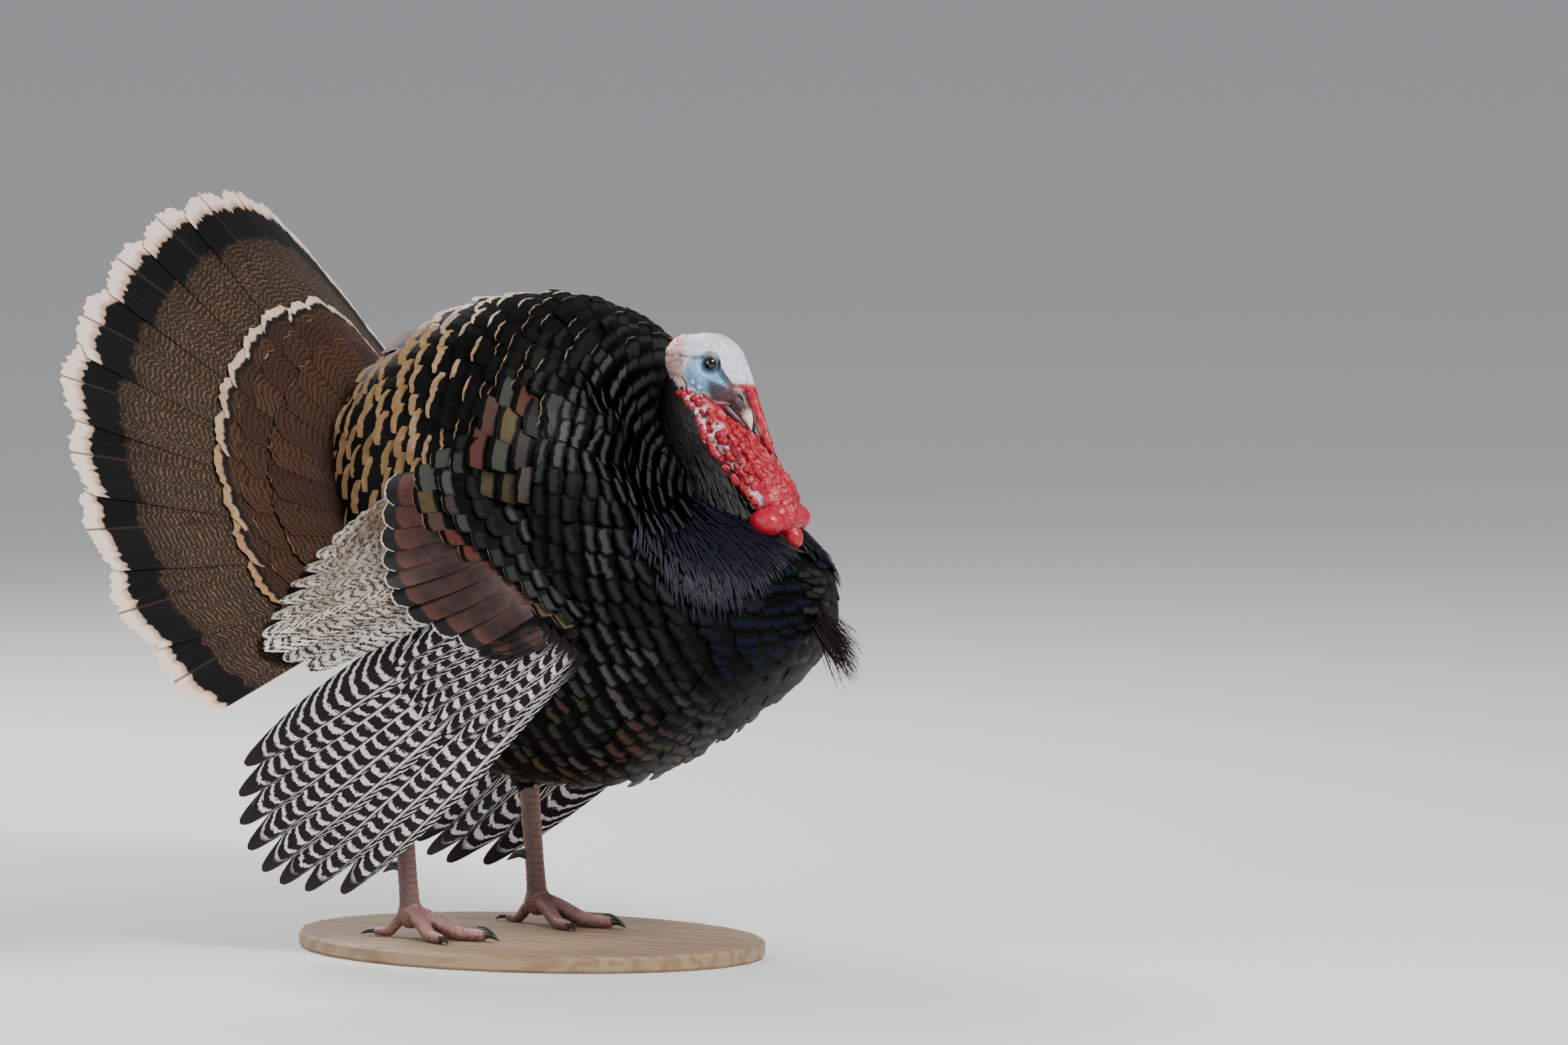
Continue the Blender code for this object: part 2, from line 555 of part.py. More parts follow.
def build_foot(side_name, side, base):
    """The foot of one side with its claws, and hidden copies of its shapes to cut the shank with."""
    place = FEET[side_name]
    shapes = [ball((*place, FOOT_PAD_HEIGHT), FOOT_PAD, 4, TUBE_POINTS)]
    claws = []
    for name, (angle, reach, radius) in TOES.items():
        path = toe_path(place, side, angle, reach, radius)
        shapes.append(tube(path, radius * TOE_TAPER, 4, 5, across=(0, 0, 1)))
        path = claw_path(place, side, angle, reach, radius)
        claws.append(add_piece(f"claw_{side_name}_{name}", tube(
            path, radius * CLAW_TAPER, 3, 6, across=(0, 0, 1)), "claw_horn"))
    foot = join_shapes(f"foot_{side_name}", shapes, "leg_skin")
    keep_clear(foot, base, *claws)
    for claw in claws:
        keep_clear(claw, base)
    forms = [hide(add_piece(f"foot_{side_name}_form_{i}", shape, "leg_skin"))
             for i, shape in enumerate(shapes)]
    return foot, forms


def build_leg(side_name, side, body, base):
    """Foot, shank, spur and thigh of one side."""
    x, y = FEET[side_name]
    foot, foot_forms = build_foot(side_name, side, base)
    thigh = add_piece(f"thigh_{side_name}", tube(
        np.array([(x + dx, side * dy, z) for dx, dy, z in THIGH]), THIGH_RADII, 7, HEAD_POINTS),
        "body_plumage")
    keep_clear(thigh, body)
    leans = np.linspace(0, SHANK_LEAN, len(SHANK_HEIGHTS))
    path = np.array([(x + lean, y, z) for lean, z in zip(leans, SHANK_HEIGHTS)])
    shank = add_piece(f"shank_{side_name}", tube(path, SHANK_RADII, 5, 9), "leg_skin")
    path = np.array([(x + dx, y - side * dy, SPUR_HEIGHT + dz) for dx, dy, dz in SPUR_LINE])
    spur = add_piece(f"spur_{side_name}", tube(path, SPUR_RADII, 3, 6), "claw_horn")
    keep_clear(shank, *foot_forms, thigh, spur, body)
    return thigh, shank, foot


def build_base():
    """The oval base: its rim bevelled, its top the ground that the soles stand on."""
    turn = np.linspace(0, 2 * pi, BASE_POINTS, endpoint=False)
    rings = []
    for inset, z in ((BASE_BEVEL, -BASE_THICKNESS), (0.0, -BASE_THICKNESS + BASE_BEVEL),
                     (0.0, -GAP - BASE_BEVEL), (BASE_BEVEL, -GAP)):
        rings.append(np.stack([BASE_MIDDLE[0] + (BASE_HALF_LENGTH - inset) * np.cos(turn),
                               BASE_MIDDLE[1] + (BASE_HALF_WIDTH - inset) * np.sin(turn),
                               np.full(turn.shape, z)], axis=-1))
    return add_piece("stand_base", loft(rings), "base_finish")


clear_scene()
parts = new_collection("wild_turkey")
cutters = new_collection("clearances")

base = build_base()
head, lower_bill = build_head()
body_form = build_body(head)
build_neck(head, lower_bill, body_form)
build_tail(body_form)
for side_name, side in (("right", -1), ("left", 1)):
    leg_pieces = build_leg(side_name, side, body_form, base)
    build_wing(side_name, side, body_form, leg_pieces)
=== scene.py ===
"""The looks of a wild turkey tom in full strut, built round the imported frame.

Everything is laid out in the bird's own coordinates, metres, with the soles at z = 0, +X the way it
faces and +Y its left; SHIFT moves it into the frame. Feathers are solid mesh: each tract is one array
of small curved grids, laid on a smooth form of the body, wing, neck or tail, and its colours come
from procedural materials that read each feather's own coordinates.
"""

import logging
from collections.abc import Callable, Sequence
from dataclasses import dataclass, field, replace
from enum import IntEnum
from math import cos, pi, radians, sin

import bpy
import numpy as np
from mathutils import Matrix, Vector


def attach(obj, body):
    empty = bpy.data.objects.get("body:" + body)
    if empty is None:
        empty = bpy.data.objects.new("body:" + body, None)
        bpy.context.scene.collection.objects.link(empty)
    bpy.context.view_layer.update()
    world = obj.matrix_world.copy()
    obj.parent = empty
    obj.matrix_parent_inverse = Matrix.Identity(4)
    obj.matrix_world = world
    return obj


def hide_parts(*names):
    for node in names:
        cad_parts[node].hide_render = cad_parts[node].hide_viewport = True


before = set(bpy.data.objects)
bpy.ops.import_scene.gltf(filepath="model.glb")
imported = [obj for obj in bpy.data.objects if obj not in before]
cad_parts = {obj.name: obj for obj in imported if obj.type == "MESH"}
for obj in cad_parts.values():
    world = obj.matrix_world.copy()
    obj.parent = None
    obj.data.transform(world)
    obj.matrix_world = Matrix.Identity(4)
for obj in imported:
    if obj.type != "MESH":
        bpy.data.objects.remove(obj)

log = logging.getLogger("turkey")

Array = np.ndarray
Colour = tuple[float, float, float]
Socket = bpy.types.NodeSocket
Value = Socket | float | Colour

SHIFT = np.array([0.0479, 0.0, 0.016])
SIDES = {"left": 1.0, "right": -1.0}  # the way along y that each side lies
FEATHER_PATCH = (0.006, 0.012)  # a body feather's size on the baking map
HAIR_PATCH = 0.003
CLEAR = 0.0003  # how far feet and claws stay over the base
SEED, WING_SEED = 7, 41


# ---------------------------------------------------------------- numbers, curves and noise
def smooth(knots: Sequence[float], values: Sequence, at: Array) -> Array:
    """Values at `at` on a curve through the knots: cubics that share their slopes."""
    knots, values, at = (np.asarray(v, float) for v in (knots, values, at))
    slopes = np.gradient(values, knots, axis=0)
    i = np.clip(np.searchsorted(knots, at, side="right") - 1, 0, len(knots) - 2)
    step = knots[i + 1] - knots[i]
    t = (at - knots[i]) / step
    if values.ndim > 1:
        step, t = step[..., None], t[..., None]
    return (values[i] * (2 * t**3 - 3 * t**2 + 1) + values[i + 1] * (3 * t**2 - 2 * t**3)
            + step * (slopes[i] * (t**3 - 2 * t**2 + t) + slopes[i + 1] * (t**3 - t**2)))


def through(points: Sequence, at: Array) -> Array:
    """Places on a smooth line through the points; `at` counts points from 0."""
    return smooth(np.arange(len(points)), points, at)


def run_along(points: Array) -> Array:
    """Distance from the first of a line of points to each of them, along the line."""
    return np.concatenate([[0], np.cumsum(np.linalg.norm(np.diff(points, axis=0), axis=-1))])


def turns(count: int) -> Array:
    """Angles that share out a full turn."""
    return np.arange(count) * 2 * pi / count


def wrapped(angle: Array) -> Array:
    """The same angles between -pi and pi."""
    return (angle + pi) % (2 * pi) - pi


def unit(vectors: Array) -> Array:
    """The vectors at length one."""
    return vectors / np.maximum(np.linalg.norm(vectors, axis=-1, keepdims=True), 1e-12)


def ease(x: Array, start: float, end: float) -> Array:
    """0 at start, 1 at end, with level ends: 3t^2 - 2t^3."""
    t = np.clip((np.asarray(x, float) - start) / (end - start), 0.0, 1.0)
    return t * t * (3 - 2 * t)


def hashed(cell: Array, seed: int) -> Array:
    """A number from 0 to 1 for each whole-numbered cell (..., 3), always the same for the same cell."""
    c = cell.astype(np.int64)
    h = (c[..., 0] * 73856093) ^ (c[..., 1] * 19349663) ^ (c[..., 2] * 83492791) ^ (seed * 2654435761)
    h = (h ^ (h >> 13)) * 1274126177
    return ((h ^ (h >> 16)) & 0xFFFFFF) / float(0xFFFFFF)


def lumps(points: Array, size: float, seed: int = 0) -> Array:
    """Smooth noise from -1 to 1 with lumps of this size: lattice values blended with eased weights."""
    p = points / size
    base = np.floor(p)
    f = p - base
    f = f * f * (3 - 2 * f)
    total = np.zeros(points.shape[:-1])
    for dx in (0, 1):
        for dy in (0, 1):
            for dz in (0, 1):
                weight = (np.where(dx, f[..., 0], 1 - f[..., 0]) * np.where(dy, f[..., 1], 1 - f[..., 1])
                          * np.where(dz, f[..., 2], 1 - f[..., 2]))
                total += weight * hashed(base + (dx, dy, dz), seed)
    return total * 2 - 1


def pebbles(points: Array, size: float, seed: int = 0) -> Array:
    """Rounded grains of this size: 1 at a grain's middle, 0 at its edge, from the nearest jittered point."""
    p = points / size
    base = np.floor(p)
    nearest = np.full(points.shape[:-1], 9.0)
    for dx in (-1, 0, 1):
        for dy in (-1, 0, 1):
            for dz in (-1, 0, 1):
                cell = base + (dx, dy, dz)
                jitter = np.stack([hashed(cell, seed + k) for k in (1, 2, 3)], axis=-1)
                nearest = np.minimum(nearest, ((cell + jitter - p) ** 2).sum(-1))
    return 1 - np.clip(np.sqrt(nearest) / 0.85, 0, 1) ** 2


# ---------------------------------------------------------------- the bird's forms
BODY_STATIONS = np.array([  # x, lowest z, highest z, half width
    (-0.222, 0.345, 0.495, 0.07), (-0.18, 0.25, 0.552, 0.125), (-0.12, 0.19, 0.59, 0.156),
    (-0.05, 0.155, 0.606, 0.168), (0.015, 0.146, 0.603, 0.172), (0.066, 0.152, 0.582, 0.168),
    (0.088, 0.16, 0.558, 0.165), (0.104, 0.168, 0.505, 0.16), (0.14, 0.19, 0.455, 0.148),
    (0.18, 0.217, 0.422, 0.13), (0.222, 0.246, 0.398, 0.104), (0.254, 0.278, 0.368, 0.066)])
BODY_REAR, BODY_FRONT = (-0.238, 0.42), (0.27, 0.326)
WIDEST_AT, FULLNESS = 0.46, 0.85
BODY_CENTRE = np.array([0.0, 0.0, 0.385])
BREAST_POLE = unit(np.array([1.0, 0.0, 0.08]))  # from the centre towards the middle of the breast

COVERTS_DOME = (np.array([0.062, 0.144, 0.395]), np.array([0.118, 0.052, 0.122]), radians(20))
SCAPULARS_DOME = (np.array([0.045, 0.122, 0.478]), np.array([0.11, 0.048, 0.058]), radians(8))


def body_level(p: Array) -> Array:
    """About how far outside the body's plumage each point is: below 0 inside it.

    Each upright section is an oval, widest a little below its middle:
    (|y| / half width)^(2 / fullness) + (rise / half height)^2 = 1.
    """
    x = np.concatenate([[BODY_REAR[0]], BODY_STATIONS[:, 0], [BODY_FRONT[0]]])
    sizes = np.vstack([(BODY_REAR[1] - 0.012, BODY_REAR[1] + 0.012, 0.012), BODY_STATIONS[:, 1:],
                       (BODY_FRONT[1] - 0.01, BODY_FRONT[1] + 0.01, 0.01)])
    fine = np.linspace(x[0], x[-1], 400)
    table = smooth(x, sizes, fine)
    low, high, half = (np.interp(p[..., 0], fine, table[:, k]) for k in range(3))
    widest = low + (high - low) * WIDEST_AT
    rise = np.where(p[..., 2] > widest, high - widest, widest - low)
    oval = (np.abs(p[..., 1]) / half) ** (2 / FULLNESS) + ((p[..., 2] - widest) / rise) ** 2
    beyond = np.maximum(np.maximum(x[0] - p[..., 0], p[..., 0] - x[-1]), 0)
    return (np.sqrt(oval) - 1) * np.minimum(half, rise) + beyond * 3


def dome_level(p: Array, dome: tuple[Array, Array, float]) -> Array:
    """About how far outside a leaning egg, on the left or its mirror image on the right, each point is."""
    middle, half, lean = dome
    q = np.stack([p[..., 0], np.abs(p[..., 1]), p[..., 2]], axis=-1) - middle
    local = np.stack([q[..., 0] * cos(lean) + q[..., 2] * sin(lean), q[..., 1],
                      -q[..., 0] * sin(lean) + q[..., 2] * cos(lean)], axis=-1)
    return (np.linalg.norm(local / half, axis=-1) - 1) * half.min()


def blend_levels(a: Array, b: Array, reach: float) -> Array:
    """The smaller of two levels, rounded where they come within `reach` of each other."""
    share = np.maximum(reach - np.abs(a - b), 0) / reach
    return np.minimum(a, b) - share**2 * reach / 4


class Form:
    """A smooth surface kept as a table of points over two parameters, read between its entries."""

    def __init__(self, a: Array, b: Array, points: Array) -> None:
        """Args:
            a: First parameter's values, rising evenly.
            b: Second parameter's values, rising evenly.
            points: Surface points (len(a), len(b), 3).
        """
        self.a, self.b, self.points = a, b, points
        along, across = np.gradient(points, a, axis=0), np.gradient(points, b, axis=1)
        self.along, self.across = along, across
        self.normals = unit(np.cross(across, along))

    def read(self, table: Array, a: Array, b: Array) -> Array:
        """Values of a table at parameters a, b, each a weighted mean of the four nearest entries."""
        i = np.clip((a - self.a[0]) / (self.a[1] - self.a[0]), 0, len(self.a) - 1.001)
        j = np.clip((b - self.b[0]) / (self.b[1] - self.b[0]), 0, len(self.b) - 1.001)
        i0, j0 = i.astype(int), j.astype(int)
        f, g = (i - i0)[..., None], (j - j0)[..., None]
        return (table[i0, j0] * (1 - f) * (1 - g) + table[i0 + 1, j0] * f * (1 - g)
                + table[i0, j0 + 1] * (1 - f) * g + table[i0 + 1, j0 + 1] * f * g)

    def at(self, a: Array, b: Array) -> tuple[Array, Array]:
        """Points and outward normals."""
        return self.read(self.points, a, b), unit(self.read(self.normals, a, b))


class PolarForm(Form):
    """A rounded surface about a centre. a is the angle from a pole, b the turn round it from `top`."""

    def __init__(self, centre: Array, pole: Array, top: Array, level: Callable[[Array], Array]) -> None:
        """Args:
            centre: A point inside.
            pole: Unit direction from which a is measured.
            top: Direction towards which b is 0.
            level: Below 0 for points inside the surface and above 0 outside it.
        """
        a = np.linspace(0.02, pi - 0.02, 181)
        b = np.linspace(-pi, pi, 361)
        top = unit(top - (top @ pole) * pole)
        out = (np.cos(a)[:, None, None] * pole
               + np.sin(a)[:, None, None] * (np.cos(b)[None, :, None] * top
                                             + np.sin(b)[None, :, None] * np.cross(top, pole)))
        inner, outer = np.zeros(out.shape[:2]), np.full(out.shape[:2], 0.5)
        for _ in range(22):
            middle = (inner + outer) / 2
            outside = level(centre + out * middle[..., None]) > 0
            inner, outer = np.where(outside, inner, middle), np.where(outside, middle, outer)
        radius = self.soften(middle, 3)
        super().__init__(a, b, centre + out * radius[..., None])

    @staticmethod
    def soften(values: Array, times: int) -> Array:
        """Each value averaged with its neighbours, wrapped round in the second parameter."""
        for _ in range(times):
            turn = np.concatenate([values[:, -2:-1], values, values[:, 1:2]], axis=1)
            values = (turn[:, :-2] + 2 * turn[:, 1:-1] + turn[:, 2:]) / 4
            rows = np.pad(values, ((1, 1), (0, 0)), mode="edge")
            values = (rows[:-2] + 2 * rows[1:-1] + rows[2:]) / 4
        return values


def body_form() -> PolarForm:
    """The plumage of body and folded arms, its pole at the middle of the breast and b = 0 along the back.

    The arms are taken 10 mm smaller than their coverts reach, which lie over them.
    """
    def level(p: Array) -> Array:
        """Body and arms as one."""
        domes = np.minimum(dome_level(p, COVERTS_DOME), dome_level(p, SCAPULARS_DOME))
        return blend_levels(domes + 0.01, body_level(p), 0.055)

    return PolarForm(BODY_CENTRE, BREAST_POLE, np.array([0, 0, 1.0]), level)


class TubeForm(Form):
    """A tube along a path. a runs from 0 to 1 along it, b is the turn round it from the front."""

    def __init__(self, path: Sequence, radii: Sequence, front: Array) -> None:
        """Args:
            path: Points (n, 3).
            radii: For each point, the radius towards the front and the radius sideways.
            front: Direction towards which b is 0.
        """
        a, b = np.linspace(0, 1, 80), np.linspace(-pi, pi, 121)
        at = a * (len(path) - 1)
        middle, sizes = through(path, at), through(radii, at)
        heading = unit(np.gradient(middle, axis=0))
        ahead = unit(front - (front * heading).sum(1, keepdims=True) * heading)
        side = np.cross(heading, ahead)
        points = (middle[:, None] + ahead[:, None] * sizes[:, None, :1] * np.cos(b)[None, :, None]
                  + side[:, None] * sizes[:, None, 1:] * np.sin(b)[None, :, None])
        super().__init__(a, b, points)


# ---------------------------------------------------------------- feathers as grids
@dataclass(frozen=True)
class Vane:
    """The shape of one kind of feather.

    Attributes:
        rows: Points along it.
        columns: Points across it.
        base: Width at the root, as a share of the full width.
        rounding: How far the tip's corners drop back, as a share of the length.
        taper: How much narrower it grows near the tip.
        camber: How far its edges bend down, as a share of the width.
        ragged: How far single barbs at the tip stand out or fall short, in metres.
    """

    rows: int = 7
    columns: int = 5
    base: float = 0.35
    rounding: float = 0.14
    taper: float = 0.25
    camber: float = 0.1
    ragged: float = 0.0


@dataclass
class Feathers:
    """Many feathers of one kind: their points, and what their material reads.

    Attributes:
        points: (feathers, rows, columns, 3) in the bird's coordinates.
        vane: At each point, side (-1 to 1), metres from the tip, and share of the length.
        trait: For each feather, a random number, the pale tip's depth in metres, and its warmth.
        hue: For each feather, how bronze, how blue and how strong the painted sheen on its band is. In a
            flight feather the second is the side on which its shaft lies, and in a great covert the third is
            its pale rim's strength.
        bake: At each point, its place on the baking map.
    """

    points: Array
    vane: Array
    trait: Array
    hue: Array
    bake: Array

    def flipped(self) -> "Feathers":
        """The same feathers, their faces turned over."""
        return Feathers(self.points[:, :, ::-1], self.vane[:, :, ::-1], self.trait, self.hue,
                        self.bake[:, :, ::-1])

    def mirrored(self) -> "Feathers":
        """The same feathers on the other side of the bird, their faces still turned outwards."""
        over = self.flipped()
        over.points, over.vane = over.points * (1, -1, 1), over.vane * (-1, 1, 1)
        return over

    @staticmethod
    def joined(sets: Sequence["Feathers"]) -> "Feathers":
        """Several sets with equal grids as one."""
        names = ("points", "vane", "trait", "hue", "bake")
        return Feathers(*(np.concatenate([getattr(s, name) for s in sets]) for name in names))


def vane_plan(vane: Vane, length: Array, width: Array, rng: np.random.Generator) -> tuple[Array, ...]:
    """Flat plans of feathers.

    Along = length * share * (1 - rounding * side^2), across = width / 2 * side * outline(share), where
    the outline widens from the base, is full by half way and draws in by the taper at the tip.

    Args:
        vane: The kind of feather.
        length: Each feather's length.
        width: Each feather's full width.
        rng: Source of the ragged tips.

    Returns:
        share, side, along and across, each (feathers, rows, columns).
    """
    share = 1 - (1 - np.linspace(0, 1, vane.rows)) ** 1.15
    side = np.linspace(-1, 1, vane.columns)
    share, side = np.broadcast_arrays(share[None, :, None], side[None, None, :])
    outline = vane.base + (1 - vane.base) * ease(share, 0, 0.55)
    outline = outline * (1 - vane.taper * share**5)
    along = length[:, None, None] * share * (1 - vane.rounding * np.abs(side) ** 2.4 * share)
    if vane.ragged:
        barbs = rng.uniform(-1, 1, (len(length), 1, vane.columns)) * vane.ragged
        along = along + barbs * ease(share, 0.9, 1.0)
    across = width[:, None, None] / 2 * side * outline
    full = along.shape
    return np.broadcast_to(share, full), np.broadcast_to(side, full), along, across


def lay(form: Form, a: Array, b: Array, lie: Array, vane: Vane, length: Array, width: Array,
        depth: Array, lift: Array, rng: np.random.Generator, traits: dict[str, Array],
        bake: Array, patch: float | Array) -> Feathers:
    """Lays feathers on a form so that each follows its curve.

    A point `along` and `across` in the feather's plan moves over the form by that much along its lie
    and square to it. Its height over the form rises from -depth at the root to lift at the tip.

    Args:
        form: The surface that the tips reach.
        a, b: Parameters of each root.
        lie: Direction (feathers, 3) that each feather points, made tangent here.
        vane: The kind of feather.
        length, width: Sizes of each feather.
        depth: How deep each root is under the form.
        lift: How high each tip is over it.
        rng: Random source.
        traits: "trait" and "hue", each (feathers, 3).
        bake: Each root's place on the baking map, (feathers, 2).
        patch: Size of a feather there.

    Returns:
        The feathers.
    """
    _, normal = form.at(a, b)
    da, db = form.read(form.along, a, b), form.read(form.across, a, b)
    ahead = unit(lie - (lie * normal).sum(-1, keepdims=True) * normal)
    side_way = np.cross(normal, ahead)
    share, side, along, across = vane_plan(vane, length, width, rng)
    aa, ab, bb = (da * da).sum(-1), (da * db).sum(-1), (db * db).sum(-1)
    det = aa * bb - ab * ab

    def to_parameters(way: Array) -> tuple[Array, Array]:
        """How fast a and b change along this direction."""
        va, vb = (way * da).sum(-1), (way * db).sum(-1)
        return (va * bb - vb * ab) / det, (vb * aa - va * ab) / det

    ahead_a, ahead_b = (v[:, None, None] for v in to_parameters(ahead))
    side_a, side_b = (v[:, None, None] for v in to_parameters(side_way))
    at_a = a[:, None, None] + along * ahead_a + across * side_a
    at_b = b[:, None, None] + along * ahead_b + across * side_b
    surface, up = form.at(at_a, wrapped(at_b))
    height = (-depth[:, None, None] + (depth + lift)[:, None, None] * share**0.9
              - vane.camber * width[:, None, None] * side**2)
    points = surface + up * height[..., None]
    return finished(points, share, side, along, traits, bake, patch)


def finished(points: Array, share: Array, side: Array, along: Array, traits: dict[str, Array],
             bake: Array, patch: float | Array) -> Feathers:
    """Feathers with the coordinates that their materials and the baking map need."""
    from_tip = along.max(axis=1, keepdims=True) - along
    vane = np.stack([side, from_tip, share], axis=-1)
    patch = np.broadcast_to(patch, (len(points), 2))[:, None, None, :]
    spot = bake[:, None, None, :] + patch * np.stack([side / 2, share - 0.5], axis=-1)
    return Feathers(points, vane, traits["trait"], traits["hue"], np.clip(spot, 0.001, 0.999))


def unrolled(a: Array, b: Array) -> Array:
    """Places on the baking map of roots on a tube or a rounded form, which is unrolled over it."""
    return np.stack([(b + pi) / (2 * pi), a], axis=-1)


def each_traits(tone: Array, tip: Array, warmth: Array, *hue: Array) -> dict[str, Array]:
    """Traits from each feather's tone, pale tip, warmth, bronze, blue and painted sheen, which is a pale
    rim's strength in a great covert.
    """
    return {"trait": np.stack([tone, tip, warmth], axis=-1), "hue": np.stack(hue, axis=-1)}


def plain_traits(count: int, rng: np.random.Generator, tip: float = 0.0, warmth: float | Array = 0.5,
                 blue: float = 0.0, gloss: float = 0.0) -> dict[str, Array]:
    """The same traits for every feather, but for the random number."""
    ones = np.ones(count)
    return each_traits(rng.random(count), *(ones * v for v in (tip, warmth, 0.0, blue, gloss)))


# ---------------------------------------------------------------- meshes
def add_mesh(name: str, points: Array, faces: Array, material: bpy.types.Material) -> bpy.types.Object:
    """A mesh object from points (n, 3) in the bird's coordinates and faces (m, 3 or 4)."""
    mesh = bpy.data.meshes.new(name)
    sides = faces.shape[1]
    mesh.vertices.add(len(points))
    mesh.vertices.foreach_set("co", (points + SHIFT).astype(np.float32).ravel())
    mesh.loops.add(faces.size)
    mesh.loops.foreach_set("vertex_index", faces.astype(np.int32).ravel())
    mesh.polygons.add(len(faces))
    mesh.polygons.foreach_set("loop_start", np.arange(0, faces.size, sides, dtype=np.int32))
    mesh.update(calc_edges=True)
    mesh.validate()
    mesh.shade_smooth()
    mesh.materials.append(material)
    obj = bpy.data.objects.new(name, mesh)
    bpy.context.scene.collection.objects.link(obj)
    return obj


def set_attribute(obj: bpy.types.Object, name: str, values: Array) -> None:
    """Stores a vector per point for the material to read."""
    layer = obj.data.attributes.new(name, "FLOAT_VECTOR", "POINT")
    layer.data.foreach_set("vector", values.astype(np.float32).ravel())


def grid_faces(count: int, rows: int, columns: int) -> Array:
    """Quads of `count` grids, numbered one after another."""
    r, c = np.meshgrid(np.arange(rows - 1), np.arange(columns - 1), indexing="ij")
    corner = (r * columns + c).ravel()
    quad = np.stack([corner, corner + columns, corner + columns + 1, corner + 1], axis=-1)
    return (quad[None] + (np.arange(count) * rows * columns)[:, None, None]).reshape(-1, 4)


def place_piece(obj: bpy.types.Object, slot: str, *nodes: str) -> None:
    """The piece rides on the bird and stands for these nodes of the frame."""
    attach(obj, "root")
    if nodes:
        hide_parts(*nodes)


def add_feathers(name: str, feathers: Feathers, material: bpy.types.Material, slot: str,
                 *nodes: str) -> None:
    """One piece of coat, standing for these nodes of the frame."""
    count, rows, columns = feathers.points.shape[:3]
    faces = grid_faces(count, rows, columns)
    obj = add_mesh(name, feathers.points.reshape(-1, 3), faces, material)
    set_attribute(obj, "vane", feathers.vane.reshape(-1, 3))
    for label in ("trait", "hue"):
        each = getattr(feathers, label)[:, None, None, :]
        set_attribute(obj, label, np.broadcast_to(each, (count, rows, columns, 3)).reshape(-1, 3))
    layer = obj.data.uv_layers.new(name="OFBake")
    corners = feathers.bake.reshape(-1, 2)[faces.ravel()]
    layer.data.foreach_set("uv", corners.astype(np.float32).ravel())
    place_piece(obj, slot, *nodes)
    log.info("%s: %d feathers, %d triangles", name, count, 2 * len(faces))


